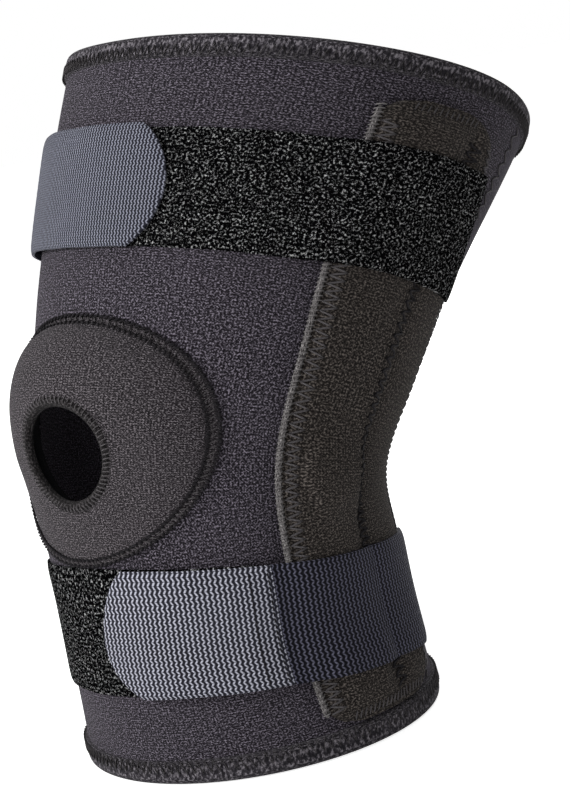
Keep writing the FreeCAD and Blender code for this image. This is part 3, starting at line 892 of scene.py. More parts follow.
GREY_TAB = ElasticFinish("grey_weave", cloth=(0.036, 0.037, 0.052), pale=(0.330, 0.340, 0.415),
                         dark=(0.004, 0.005, 0.008), ribs=5.0, yarns=6.8, slant=0.9, depth=0.00025)
PALE_ELASTIC = ElasticFinish("pale_elastic", cloth=(0.050, 0.051, 0.070), pale=(0.580, 0.585, 0.680),
                             dark=(0.002, 0.002, 0.003), ribs=4.4, yarns=5.6, slant=0.9)
DARK_ELASTIC = ElasticFinish("dark_elastic", cloth=(0.006, 0.006, 0.011), pale=(0.130, 0.130, 0.180),
                             dark=(0.001, 0.001, 0.002), ribs=4.4, yarns=5.6, slant=0.9)
SELVEDGE = KnitFinish("cut_edge", cloth=(0.200, 0.200, 0.225), pale=(0.400, 0.400, 0.430),
                      dark=(0.060, 0.060, 0.070))
PILE_EDGE = KnitFinish("pile_edge", cloth=(0.090, 0.082, 0.105), pale=(0.260, 0.245, 0.290),
                       dark=(0.020, 0.018, 0.024))
# The loop strips' near-white loop colour is a painted glint on black loops.
PILE = PileFinish("pile", cloth=(0.0015, 0.0015, 0.0018), loop=(0.95, 0.95, 0.96), loops=6.2,
                  bright=0.50)
HOOKS = PileFinish("hooks", cloth=(0.010, 0.010, 0.011), loop=(0.06, 0.06, 0.065), loops=11.0,
                   bright=0.45, depth=0.0006)
FOAM = PileFinish("pad_foam", cloth=(0.022, 0.022, 0.024), loop=(0.07, 0.07, 0.075), loops=14.0,
                  bright=0.45, depth=0.0002)
DARK_THREAD = ThreadFinish("dark_thread", thread=(0.030, 0.027, 0.030), shade=(0.005, 0.005, 0.006))
GREY_THREAD = ThreadFinish("grey_thread", thread=(0.175, 0.162, 0.168), shade=(0.030, 0.028, 0.030))
PALE_THREAD = ThreadFinish("pale_thread", thread=(0.360, 0.340, 0.340), shade=(0.100, 0.094, 0.096))
STEEL = HardFinish("spring_steel", body=(0.52, 0.52, 0.53), worn=(0.36, 0.36, 0.37), roughness=0.32,
                   metallic=1.0)
VINYL = HardFinish("cap_vinyl", body=(0.022, 0.022, 0.024), worn=(0.05, 0.05, 0.052), roughness=0.45)
NYLON = HardFinish("washer_nylon", body=(0.72, 0.71, 0.66), worn=(0.6, 0.59, 0.55), roughness=0.4)

Finish = KnitFinish | ElasticFinish | PileFinish | ThreadFinish | HardFinish
MATERIALS: dict[str, bpy.types.Material] = {}


def dress(piece: bpy.types.Object, *finishes: Finish) -> bpy.types.Object:
    """Give a piece its materials, each finish made only once.

    Args:
        piece: to be dressed.
        finishes: one for each material slot.

    Returns:
        The piece.
    """
    piece.data.materials.clear()
    for finish in finishes:
        if finish.name not in MATERIALS:
            MATERIALS[finish.name] = finish.make()
        piece.data.materials.append(MATERIALS[finish.name])
    return piece


# ------------------------------------------------------------------ how pieces are carried

@dataclass(frozen=True)
class KneeFold:
    """The stretch of cloth that bends between calf and thigh."""

    below: float = 0.032
    above: float = 0.080

    def carry(self, piece: bpy.types.Object) -> None:
        """Bake a piece's transform into its mesh.

        Args:
            piece: with its final mesh.
        """
        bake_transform(piece)


FOLD = KneeFold()


def settle(piece: bpy.types.Object) -> None:
    """Bake a piece's transform into its mesh."""
    FOLD.carry(piece)


# ------------------------------------------------------------------ side panels

@dataclass(frozen=True)
class PanelShape:
    """The raised side panels: a front channel with the stay, and an empty back channel."""

    front_seam: float = 70.5
    middle_seam: float = 100.0
    back_places: tuple[float, ...] = (0.0, 0.104, 0.130, 0.180, 0.252)
    back_angles: tuple[float, ...] = (117.0, 129.0, 129.5, 118.5, 102.0)
    foot: float = 0.0105
    head: float = 0.2345
    corner: float = 0.011
    edge_height: float = 0.0026
    seam_height: float = 0.0024
    front_height: float = 0.0056
    back_height: float = 0.0044
    foot_fade: float = 0.009
    head_fade: float = 0.010
    strap_reach: float = 7.0
    strap_sag: float = 9.0

    def back_seam(self, along: np.ndarray) -> np.ndarray:
        """Angle of the back seam."""
        return eased(np.array(self.back_places), np.array(self.back_angles), along)[..., 0]

    def inset(self, along: np.ndarray) -> np.ndarray:
        """How far the rounded corners pull the seams in, at a place along the panel."""
        left = np.clip(np.minimum(self.head - along, along - self.foot), 0, self.corner)
        return self.corner - np.sqrt(np.maximum(self.corner**2 - (self.corner - left) ** 2, 0))

    def height(self, stays: "StayRelief", along: np.ndarray, angle: np.ndarray) -> np.ndarray:
        """Height of the panel's face above the sleeve.

        Args:
            stays: the relief of the stays under it.
            along: distance from the bottom rim along the bent leg.
            angle: degrees from the front, on either side.

        Returns:
            The height, 0 off the panel.
        """
        along, angle = np.broadcast_arrays(np.asarray(along, float), np.abs(np.asarray(angle, float)))
        back = self.back_seam(along)
        front_share = (angle - self.front_seam) / (self.middle_seam - self.front_seam)
        back_share = (angle - self.middle_seam) / np.maximum(back - self.middle_seam, 1)
        fade = (smoothstep(self.foot, self.foot + self.foot_fade, along)
                * smoothstep(self.head, self.head - self.head_fade, along))
        first = self.edge_height + (self.front_height - self.edge_height) * self.crown(front_share) * fade
        second = self.seam_height + (self.back_height - self.seam_height) * self.crown(back_share) * fade
        height = np.maximum(np.where(angle < self.middle_seam, first, second), stays.height(along, angle))
        inside = (angle >= self.front_seam) & (angle <= back) & (along >= self.foot) & (along <= self.head)
        return np.where(inside, height, 0.0)

    @staticmethod
    def crown(share: np.ndarray) -> np.ndarray:
        """Fullness across a channel, 1 in its middle and 0 at its two seams."""
        return 1 - np.abs(np.clip(share, 0, 1) * 2 - 1) ** 3.2

    def under_strap(self, stays: "StayRelief", along: np.ndarray, angle: np.ndarray) -> np.ndarray:
        """Height at which a tight strap rests, bridging the hollows and rounding the edges.

        Args:
            stays: the relief of the stays under the panel.
            along: distance from the bottom rim along the bent leg.
            angle: degrees from the front, on either side.

        Returns:
            The height of the strap's underside.
        """
        rest = np.zeros(np.broadcast(along, angle).shape)
        for reach in np.linspace(-self.strap_reach, self.strap_reach, 15):
            sag = 1 - (reach / self.strap_sag) ** 2
            rest = np.maximum(rest, self.height(stays, along, angle + reach) * sag)
        return rest


@dataclass
class StayRelief:
    """How high the stays stand above the sleeve, read from their own meshes.

    Attributes:
        leg: that the brace is moulded for.
        cover: thickness of the cloth over them.
        reach: cells that the cloth is tented past their edges.
        step: metres from cell to cell along the leg.
        turn: degrees from cell to cell round it.
        least: lowest height that counts.
    """

    leg: LegForm
    cover: float = 0.0009
    reach: int = 3
    step: float = 0.0015
    turn: float = 1.2
    least: float = 0.0004

    def __post_init__(self) -> None:
        """Sample the outer stay's surfaces on a grid of the leg's coordinates."""
        self.along = np.arange(0.015, 0.240, self.step)
        self.angle = np.arange(60.0, 125.0, self.turn)
        along, angle = np.meshgrid(self.along, self.angle, indexing="ij")
        base = self.leg.point(along, angle)
        out = unit(self.leg.point(along, angle, MM) - base).reshape(-1, 3)
        base = base.reshape(-1, 3)
        tree = KDTree(len(base))
        for index, place in enumerate(base):
            tree.insert(place, index)
        tree.balance()
        high = np.zeros(along.size)
        for point in self.samples():
            _, index, _ = tree.find(point)
            high[index] = max(high[index], float((point - base[index]) @ out[index]))
        self.high = self.spread(high.reshape(along.shape))

    def samples(self) -> np.ndarray:
        """Sample the outer stay, its caps, washer and rivet.

        Returns:
            Points all over them.
        """
        points = []
        for name, node in Hardware.pieces():
            if not name.startswith("lateral_"):
                continue
            node.data.calc_loop_triangles()
            vertices = np.array([v.co for v in node.data.vertices])
            for triangle in node.data.loop_triangles:
                a, b, c = vertices[list(triangle.vertices)]
                longest = max(np.linalg.norm(side) for side in (b - a, c - a, c - b))
                grid = np.linspace(0, 1, int(longest / self.step) + 2)
                u, v = np.meshgrid(grid, grid)
                keep = u + v <= 1
                points.append(a + u[keep][:, None] * (b - a) + v[keep][:, None] * (c - a))
        return np.concatenate(points)

    def spread(self, high: np.ndarray) -> np.ndarray:
        """The cloth's height over the stay: tented past its edges and smoothed.

        Args:
            high: the stay's own height in each cell.

        Returns:
            The cloth's height in each cell.
        """
        tented = high.copy()
        for row in range(-self.reach, self.reach + 1):
            for column in range(-self.reach, self.reach + 1):
                if row * row + column * column <= self.reach**2:
                    tented = np.maximum(tented, np.roll(high, (row, column), (0, 1)))
        smooth = tented
        for _ in range(3):
            for axis in (0, 1):
                smooth = (np.roll(smooth, 1, axis) + smooth * 2 + np.roll(smooth, -1, axis)) / 4
        return np.where(smooth > self.least, np.maximum(smooth, high) + self.cover, 0.0)

    def height(self, along: np.ndarray, angle: np.ndarray) -> np.ndarray:
        """Least height of cloth over the stay.

        Args:
            along: distance from the bottom rim along the bent leg.
            angle: degrees from the front, on either side.

        Returns:
            The height, 0 away from the stay.
        """
        row = np.clip((along - self.along[0]) / self.step, 0, len(self.along) - 1.001)
        column = np.clip((np.abs(angle) - self.angle[0]) / self.turn, 0, len(self.angle) - 1.001)
        i, j = row.astype(int), column.astype(int)
        u, v = row - i, column - j
        return ((1 - u) * (1 - v) * self.high[i, j] + u * (1 - v) * self.high[i + 1, j]
                + (1 - u) * v * self.high[i, j + 1] + u * v * self.high[i + 1, j + 1])


PANEL_SHAPE = PanelShape()


class Side(Enum):
    """Outer or inner side of the leg."""

    LATERAL = 1
    MEDIAL = -1

    @property
    def label(self) -> str:
        """The side's word in piece names."""
        return self.name.lower()


@dataclass
class SidePanel:
    """One side panel with its three seams."""

    leg: LegForm
    side: Side
    stays: StayRelief
    shape: PanelShape = PANEL_SHAPE
    hem: float = 0.0004
    underside: float = 0.0002
    rows: int = 150
    columns: int = 60

    def build(self) -> None:
        """Make the panel and its stitches."""
        along = np.linspace(self.shape.foot, self.shape.head, self.rows)[:, None]
        share = np.linspace(0, 1, self.columns)[None, :]
        per_degree = self.leg.scale(0.12, 90, 0.0)[1]
        inset = self.shape.inset(along) / per_degree
        first, last = self.shape.front_seam + inset, self.shape.back_seam(along) - inset
        angle = first + (last - first) * share
        height = self.shape.height(self.stays, along, np.clip(angle, first + 0.01, last - 0.01))
        rim = np.minimum(np.minimum(share, 1 - share) * 18, 1) ** 0.5
        height = self.hem + (height - self.hem) * np.maximum(rim, 0.35)
        sign = self.side.value
        outside = self.leg.point(along, sign * angle, height).reshape(-1, 3)
        inside = self.leg.point(along, sign * angle, self.underside).reshape(-1, 3)
        across = (angle - self.shape.front_seam) * per_degree * CM
        uv = np.stack(np.broadcast_arrays(across, along * CM), axis=-1).reshape(-1, 2)
        name = self.side.label
        panel = cloth_shell(f"{name}_panel", outside, inside, grid_faces(self.rows, self.columns), uv)
        dress(panel, PANEL, LINING, PANEL)
        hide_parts(*(f"{name}_pocket_{part}" for part in ("calf", "knee", "thigh")))
        settle(panel)
        self.seams(name, sign)
        log.info("%s panel: %d faces", name, len(panel.data.polygons))

    def seams(self, name: str, sign: int) -> None:
        """A whipped cord and a zigzag at the front edge, and zigzags at the other seams and both ends.

        Args:
            name: the side's word in piece names.
            sign: 1 on the outer side.
        """
        shape, leg = self.shape, self.leg
        whip = []
        for at in np.arange(shape.foot + 0.006, shape.head - 0.005, 0.0016):
            turn = np.linspace(-0.55, 0.62, 7) * np.pi
            angle = shape.front_seam + np.sin(turn) * 1.25
            rise = 0.0021 + np.cos(turn) * 0.0013
            whip.append(leg.point(at + np.linspace(0, 0.0010, 7), sign * angle, rise))
        self.thread(f"{name}_front_whip_stitch", whip, 0.00026, PALE_THREAD)
        ridge = np.arange(shape.foot + 0.005, shape.head - 0.004, 0.002)
        cord = leg.point(ridge, sign * shape.front_seam, 0.0020)
        self.thread(f"{name}_front_edge_cord", [cord], 0.0012, CORD, 10)
        low, high = shape.foot + 0.006, shape.head - 0.010
        front, middle = np.full(2, shape.front_seam + 3.4), np.full(2, shape.middle_seam)
        back = shape.back_seam(np.linspace(low, high, 12)) - 2.4
        for seam, start, course, half, pitch, radius, finish in (
                ("front_zigzag", low, front, 2.3, 0.0030, 0.00036, GREY_THREAD),
                ("middle_zigzag", low, middle, 3.0, 0.0037, 0.00044, DARK_THREAD),
                ("middle_cross_zigzag", low + 0.0018, middle, 2.2, 0.0037, 0.00030, GREY_THREAD),
                ("back_zigzag", low, back, 1.9, 0.0030, 0.00034, GREY_THREAD)):
            at, angle = self.zigzag(start, high, course, half, pitch)
            lift = shape.height(self.stays, at, angle) + radius * 0.8
            self.thread(f"{name}_{seam}", [leg.point(at, sign * angle, lift)], radius, finish)
        ends = []
        for at in (shape.foot + 0.0030, shape.head - 0.0030):
            first = shape.front_seam + 8
            for angle in np.arange(first, float(shape.back_seam(np.array(at))) - 8, 1.7):
                reach = np.linspace(-0.0017, 0.0017, 5)
                lift = shape.height(self.stays, np.clip(at + reach, shape.foot, shape.head), angle) + 0.0003
                ends.append(leg.point(at + reach, sign * (angle + np.linspace(0, 0.9, 5)), lift))
        self.thread(f"{name}_end_stitches", ends, 0.0003, GREY_THREAD)

    @staticmethod
    def zigzag(low: float, high: float, course: np.ndarray, half: float,
               pitch: float) -> tuple[np.ndarray, np.ndarray]:
        """The line of a zigzag along the panel.

        Args:
            low: where it starts.
            high: where it ends.
            course: angles that its middle runs through, evenly spaced.
            half: half its width, in degrees.
            pitch: one zig and one zag.

        Returns:
            Distances along the leg, and angles.
        """
        at = np.arange(low, high, pitch / 8)
        sway = (np.abs((at / pitch) % 1 * 2 - 1) - 0.5) * 2 * half
        return at, np.interp(at, np.linspace(low, high, len(course)), course) + sway

    def thread(self, name: str, paths: Sequence[np.ndarray], radius: float, finish: Finish,
               sides: int = 6) -> None:
        """Sew threads, each with its finish.

        Args:
            name: the piece's name.
            paths: centre lines of the threads.
            radius: of each thread.
            finish: of each thread.
            sides: flats round it.
        """
        piece = dress(tubes(name, paths, radius, sides), finish)
        settle(piece)


# ------------------------------------------------------------------ patella panel

@dataclass
class PatellaPanel:
    """The bulging oval panel over the patella, with its bound round opening and ring pad."""

    leg: LegForm
    centre: float = 0.112
    half_length: float = 0.0325
    half_angle: float = 52.0
    middle_rise: float = 0.0078
    rise_slope: float = 0.0118
    soft_turn: float = 0.0022
    lift: float = 0.0009
    wall: float = 0.0024
    opening_centre: float = 0.1078
    opening_angle: float = 2.8
    opening_up: float = 0.0172
    opening_across: float = 0.0215
    rim: float = 0.0019
    pad_width: float = 0.0050
    pad_height: float = 0.0032
    nudge: float = 0.02
    rim_stitches: int = 74
    rings: int = 44
    spokes: int = 192

    def __post_init__(self) -> None:
        """Measure the opening in the panel's own coordinates."""
        up, turned = self.leg.scale(self.opening_centre, 0, self.middle_rise)
        self.hole = (self.opening_up + self.rim) / up, (self.opening_across + self.rim) / turned

    def place(self, share: np.ndarray, spoke: np.ndarray, height: np.ndarray) -> np.ndarray:
        """Points of the panel.

        Args:
            share: 0 at the opening, 1 at the seam.
            spoke: direction about the opening, in radians.
            height: above the sleeve.

        Returns:
            Points.
        """
        along, angle = self.cloth(share, spoke)
        return self.leg.point(along, angle, height)

    def cloth(self, share: np.ndarray, spoke: np.ndarray) -> tuple[np.ndarray, np.ndarray]:
        """Places of the panel on the leg.

        Args:
            share: 0 at the opening, 1 at the seam.
            spoke: direction about the opening, in radians.

        Returns:
            Distances along the leg, and angles.
        """
        along = ((1 - share) * (self.opening_centre + np.sin(spoke) * self.hole[0])
                 + share * (self.centre + np.sin(spoke) * self.half_length))
        angle = ((1 - share) * (self.opening_angle + np.cos(spoke) * self.hole[1])
                 + share * np.cos(spoke) * self.half_angle)
        return along, angle

    def rise(self, share: np.ndarray, spoke: np.ndarray) -> np.ndarray:
        """Height of the panel's face: level at the seam, and highest above the opening.

        Args:
            share: 0 at the opening, 1 at the seam.
            spoke: direction about the opening, in radians.

        Returns:
            The height above the sleeve.
        """
        along, angle = self.cloth(share, spoke)
        up = (along - self.centre) / self.half_length
        out = np.clip(np.hypot(up, angle / self.half_angle) / 0.95, 0, 1)
        rise = self.middle_rise + self.rise_slope * up
        return self.lift + above(rise, self.soft_turn) * (1 - out**2.4) ** 0.8

    def build(self) -> None:
        """Make the panel, its rim, seam and ring pad."""
        share = np.linspace(0, 1, self.rings)[:, None]
        spoke = np.linspace(0, 2 * np.pi, self.spokes, endpoint=False)[None, :]
        top = self.rise(share, spoke)
        crease = 0.00022 * np.sin(7 * spoke + 9 * share) * np.sin(3 * spoke - 5 * share) * (1 - share)
        outside = self.place(share, spoke, top + crease).reshape(-1, 3)
        floor = np.where(share > 0.93, 0.0002, top - self.wall)
        inside = self.place(share, spoke, floor).reshape(-1, 3)
        along, angle = self.cloth(share, spoke)
        up, turned = self.leg.scale(self.centre, 0, self.middle_rise / 2)
        uv = np.stack([angle * turned * CM, along * up * CM * 1.25], axis=-1).reshape(-1, 2)
        faces = grid_faces(self.rings, self.spokes, wrap=True)
        panel = cloth_shell("patella_panel", outside, inside, faces, uv)
        dress(panel, DOME, LINING, NEOPRENE_EDGE)
        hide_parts("patella_dome")
        settle(panel)
        self.build_rim()
        self.build_seam()
        self.build_ring_pad()
        log.info("patella panel: %d faces", len(panel.data.polygons))

    def build_rim(self) -> None:
        """The bound edge of the opening and its whip stitches."""
        spoke = np.linspace(0, 2 * np.pi, self.spokes, endpoint=False)
        height = self.rise(np.zeros_like(spoke), spoke) - self.wall / 2
        centres = self.place(np.zeros_like(spoke), spoke, height)
        across = unit(self.place(np.full_like(spoke, self.nudge), spoke, height) - centres)
        out = unit(self.place(np.zeros_like(spoke), spoke, height + MM) - centres)
        rim = ring_tube("opening_rim", centres, across, out, self.rim * 1.05, self.rim, 0.85)
        dress(rim, RIM_TAPE)
        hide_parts("aperture_rim")
        settle(rim)
        turn, reach = np.linspace(-0.35, 1.15, 8) * np.pi, self.rim + 0.0003
        stitches = [self.ring_point(2 * np.pi * index / self.rim_stitches + np.linspace(0, 0.055, 8),
                                    -np.cos(turn) * reach + 0.0007, np.sin(turn) * reach)
                    for index in range(self.rim_stitches)]
        thread = dress(tubes("opening_whip_stitch", stitches, 0.00028), GREY_THREAD)
        settle(thread)

    def ring_point(self, spoke: np.ndarray, out: np.ndarray, up: np.ndarray) -> np.ndarray:
        """Points beside the opening's centre line.

        Args:
            spoke: direction about the opening, in radians.
            out: distance out from the line.
            up: distance up from the panel.

        Returns:
            Points.
        """
        height = self.rise(np.zeros_like(spoke), spoke) - self.wall / 2
        base = self.place(np.zeros_like(spoke), spoke, height)
        away = unit(self.place(np.full_like(spoke, self.nudge), spoke, height) - base)
        raised = unit(self.place(np.zeros_like(spoke), spoke, height + MM) - base)
        return base + away * out[:, None] + raised * up[:, None]

    def build_seam(self) -> None:
        """Flatlock seam round the panel: a row of fat stitches at each side and thin rungs between."""
        rows = {"inner": (0.872, 0.912, 158, 0.00052), "outer": (0.975, 1.018, 170, 0.00052),
                "ladder": (0.900, 0.985, 120, 0.00026)}
        for row, (first, last, count, radius) in rows.items():
            stitches = []
            for index in range(count):
                share = np.linspace(first, last, 6)
                spoke = 2 * np.pi * index / count + np.linspace(0, 0.030, 6) * (-1 if row == "outer" else 1)
                height = self.rise(share, spoke) + np.array([0.0, 3.0, 4.5, 4.5, 3.0, 0.0]) * 0.0001 + 0.0002
                stitches.append(self.place(share, spoke, height))
            finish = GREY_THREAD if row == "ladder" else DARK_THREAD
            piece = dress(tubes(f"patella_seam_{row}", stitches, radius), finish)
            settle(piece)

    def build_ring_pad(self) -> None:
        """The soft ring that keeps the panel off the patella's edge."""
        spoke = np.linspace(0, 2 * np.pi, 96, endpoint=False)
        share = np.full_like(spoke, 0.22)
        depth = self.pad_height + self.wall + 0.0006
        centres = self.place(share, spoke, self.rise(share, spoke) - depth)
        across = unit(self.place(share + self.nudge, spoke, self.rise(share, spoke) - depth) - centres)
        out = unit(self.place(share, spoke, self.rise(share, spoke) - depth + MM) - centres)
        pad = ring_tube("patella_ring_pad", centres, across, out, self.pad_width, self.pad_height, 0.8)
        dress(pad, FOAM)
        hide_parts("patella_ring")
        settle(pad)


# ------------------------------------------------------------------ sleeve

@dataclass
class Sleeve:
    """The sewn tube: a front and side piece with the patella opening, and a back piece."""

    leg: LegForm
    patella: PatellaPanel
    wall: float = 0.004
    overlap: float = 0.90
    stretch: float = 1.15
    join: float = 121.0
    start: float = 0.004
    end: float = 0.248
    rows: int = 150

    def build(self) -> None:
        """Make both pieces and the two seams that join them."""
        self.build_front()
        self.build_back()
        self.build_joins()

    def ripple(self, along: np.ndarray, angle: np.ndarray) -> np.ndarray:
        """Slight unevenness of a worn sleeve, with soft folds behind the knee.

        Args:
            along: distance from the bottom rim along the bent leg.
            angle: degrees from the front towards the outer side.

        Returns:
            The height above the leg's smooth form.
        """
        turn = np.radians(angle)
        slow = 0.00035 * np.sin(along * 61 + 2.1 * np.sin(turn * 2)) * np.cos(turn * 3 + along * 23)
        behind = smoothstep(120, 165, np.abs(((angle + 180) % 360) - 180))
        knee = np.exp(-(((along - self.leg.knee_level) / 0.028) ** 2))
        folds = 0.0011 * np.sin(along * 430 + np.sin(turn * 3) * 1.4) * behind * knee
        return slow + folds

    def build_front(self) -> None:
        """Front and sides, open under the patella panel."""
        columns = 190
        along, angle = self.lay(-self.join, self.join, columns)
        out_along = (along - self.patella.centre) / (self.patella.half_length * self.overlap)
        out_angle = angle / (self.patella.half_angle * self.overlap)
        radius = np.hypot(out_along, out_angle)
        faces = [face for face in grid_faces(self.rows, columns) if max(radius[list(face)]) > 1.0]
        meeting = np.bincount(np.ravel(faces), minlength=len(along))
        used = meeting > 0
        ragged = used & (meeting < 4) & (radius > 0.7) & (radius < 1.3)
        along[ragged] = self.patella.centre + (along[ragged] - self.patella.centre) / radius[ragged]
        angle[ragged] /= radius[ragged]
        number = np.cumsum(used) - 1
        faces = [tuple(int(number[i]) for i in face) for face in faces]
        piece = self.shell("sleeve_front", along[used], angle[used], faces)
        dress(piece, SLEEVE, LINING, NEOPRENE_EDGE)
        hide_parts("calf_sleeve", "knee_sleeve", "thigh_sleeve")
        settle(piece)
        girth = self.leg.arc(0.15, np.linspace(-self.join, self.join, 90))[-1]
        log.info("sleeve front: %d faces", len(piece.data.polygons))

    def build_back(self) -> None:
        """The stretch knit behind the leg."""
        columns = 96
        along, angle = self.lay(self.join, 360 - self.join, columns)
        piece = self.shell("sleeve_back", along, angle, grid_faces(self.rows, columns))
        dress(piece, BACK, LINING, NEOPRENE_EDGE)
        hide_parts("calf_back_panel", "popliteal_panel", "thigh_back_panel")
        settle(piece)
        girth = self.leg.arc(0.15, np.linspace(self.join, 360 - self.join, 60))[-1]

    def lay(self, first: float, last: float, columns: int) -> tuple[np.ndarray, np.ndarray]:
        """Lay a grid over the leg.

        Args:
            first: angle of its first column.
            last: angle of its last column.
            columns: how many there are.

        Returns:
            Distances along the leg and angles, row by row.
        """
        along, angle = np.meshgrid(np.linspace(self.start, self.end, self.rows),
                                   np.linspace(first, last, columns), indexing="ij")
        return along.ravel(), angle.ravel()

    def shell(self, name: str, along: np.ndarray, angle: np.ndarray,
              faces: Sequence[Sequence[int]]) -> bpy.types.Object:
        """Make one piece of the sleeve, with its wall.

        Args:
            name: the piece's name.
            along: distances along the leg of its points.
            angle: their angles.
            faces: polygons between them.

        Returns:
            The piece.
        """
        lift = self.ripple(along, angle)
        uv = np.stack([angle * self.leg.scale(0.12, 45, 0)[1] * CM, along * CM * self.stretch], axis=-1)
        return cloth_shell(name, self.leg.point(along, angle, lift),
                           self.leg.point(along, angle, lift - self.wall), faces, uv)

    def build_joins(self) -> None:
        """Flatlock zigzags where the back piece is sewn in."""
        at = np.linspace(self.start + 0.006, self.end - 0.006, 420)
        sway = (np.abs((at / 0.0030) % 2 - 1) - 0.5) * 4.0
        paths = [self.leg.point(at, sign * (self.join + sway), self.ripple(at, sign * self.join) + 0.0004)
                 for sign in (1, -1)]
        piece = dress(tubes("sleeve_join_zigzag", paths, 0.0003), GREY_THREAD)
        settle(piece)


@dataclass
class Binding:
    """A knitted tape folded over one rim and sewn through with a zigzag.

    Attributes:
        leg: that it goes round.
        name: the tape's own name.
        body: that it rides on.
        node: that it stands for.
        top: whether it binds the top rim.
        width: of the folded tape.
        outside: how far it stands above the sleeve.
        inside: how far it reaches in.
    """

    leg: LegForm
    name: str
    body: str
    node: str
    top: bool
    width: float = 0.0092
    outside: float = 0.0013
    inside: float = 0.0052

    def build(self) -> None:
        """Make the tape and its zigzag thread."""
        angles = np.linspace(-180, 180, 300, endpoint=False)
        middle = self.width / 2
        at = self.leg.length - middle if self.top else middle
        lift = (self.outside - self.inside) / 2
        centres = self.leg.point(at, angles, lift)
        across = unit(self.leg.point(at + MM, angles, lift) - centres)
        out = unit(self.leg.point(at, angles, lift + MM) - centres)
        if not self.top:
            across = np.tile([0.0, 0.0, 1.0], (len(angles), 1))
            out[:, 2] = 0
            out = unit(out)
        tape = ring_tube(self.name, centres, across, out, middle, (self.outside + self.inside) / 2, 0.42, 28)
        dress(tape, TAPE)
        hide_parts(self.node)
        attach(tape, self.body)
        self.sew()
        log.info("%s made", self.name)

    def sew(self) -> None:
        """Zigzag thread through the tape."""
        round_leg = float(self.leg.arc(self.leg.length * self.top, np.linspace(-180, 180, 200))[-1])
        count = int(round_leg / 0.0016)
        angles = np.linspace(-180, 180, count)
        edge = self.leg.length - self.width if self.top else self.width
        toward = 1 if self.top else -1
        swing = np.where(np.arange(count) % 2, 0.0002, 0.0046)
        zigzag = self.leg.point(edge + toward * swing, angles, self.outside + 0.0003)
        piece = dress(tubes(f"{self.name}_zigzag", [zigzag], 0.00032), GREY_THREAD)
        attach(piece, self.body)


# ------------------------------------------------------------------ straps

@dataclass
class Band:
    """The course of a strap round the leg: where its middle runs, and how wide it is."""

    leg: LegForm
    middle: float
    half_width: float
    tilt: float = 0.0

    def along(self, angle: np.ndarray) -> np.ndarray:
        """Distance of the strap's middle along the leg at an angle round it."""
        behind = self.leg.point(self.middle, angle)[..., 1]
        return self.middle - math.tan(math.radians(self.tilt)) * behind


@dataclass
class StrapPiece:
    """One length of strap, loop strip or hook pad laid round the leg.

    Attributes:
        name: the piece's name.
        node: that it stands for.
        slot: its material slot in the record; not used.
        band: the course that it follows.
        first: angle of its root.
        last: angle of its far end.
        low: height of its underside, from places along the leg and angles.
        thickness: of the webbing.
        finishes: of its outside, inside and cut edge.
        body: that it rides on, or none where it bends with the knee.
        tip_radius: of its rounded tip, or 0 for a square end.
        narrower: how much less than the band's half width it is wide on each side.
        to_seam: whether its far end follows the side panel's back seam.
        columns: points along it.
        rows: points across it.
    """

    name: str
    node: str
    slot: str
    band: Band
    first: float
    last: float
    low: Callable[[np.ndarray, np.ndarray], np.ndarray]
    thickness: float
    finishes: tuple[Finish, Finish, Finish]
    body: str = ""
    tip_radius: float = 0.0
    narrower: float = 0.0
    to_seam: bool = False
    columns: int = 150
    rows: int = 34

    def build(self) -> bpy.types.Object:
        """Make the strap piece.

        Returns:
            The piece, with its tip at the last angle where it has one.
        """
        leg = self.band.leg
        share = np.linspace(0, 1, self.columns)[None, :]
        across = np.linspace(-1, 1, self.rows)[:, None]
        half = self.band.half_width - self.narrower
        heading = 1 if self.last > self.first else -1
        walk = self.walk(leg)
        start = np.interp(self.first, *walk)
        length = abs(float(np.interp(self.last, *walk)) - float(start))
        reach = length + 0 * across
        if self.tip_radius:
            reach = length - self.tip_radius + np.sqrt(self.tip_radius**2 - (across * half) ** 2)
        if self.to_seam:
            seam = np.sign(self.last) * (PANEL_SHAPE.back_seam(self.band.middle + across * half) - 1.0)
            reach = np.abs(np.interp(seam, *walk) - start)
        distance = share * reach
        angle = leg.angle_after(self.band.middle, self.first, heading * distance)
        along = self.band.along(angle) + across * half
        low = self.low(along, angle)
        side = 1 - 0.35 * np.abs(across) ** 14
        ends = 1 - 0.35 * np.clip(1 - (1 - share) * 40, 0, 1)
        wave = 0.00018 * np.sin(distance * 210 + across * 2.0) * across**2
        outside = leg.point(along, angle, low + self.thickness * side * ends + wave).reshape(-1, 3)
        inside = leg.point(along, angle, low + wave).reshape(-1, 3)
        uv = np.stack(np.broadcast_arrays(distance * CM, across * half * CM), axis=-1)
        piece = cloth_shell(self.name, outside, inside, grid_faces(self.rows, self.columns), uv.reshape(-1, 2))
        dress(piece, *self.finishes)
        log.info("%s: %.0f mm long", self.name, length * 1000)
        return piece

    def walk(self, leg: LegForm) -> tuple[np.ndarray, np.ndarray]:
        """Angles, and the distance round the leg at each of them."""
        angles = np.linspace(-200, 200, 401)
        return angles, leg.arc(self.band.middle, angles)


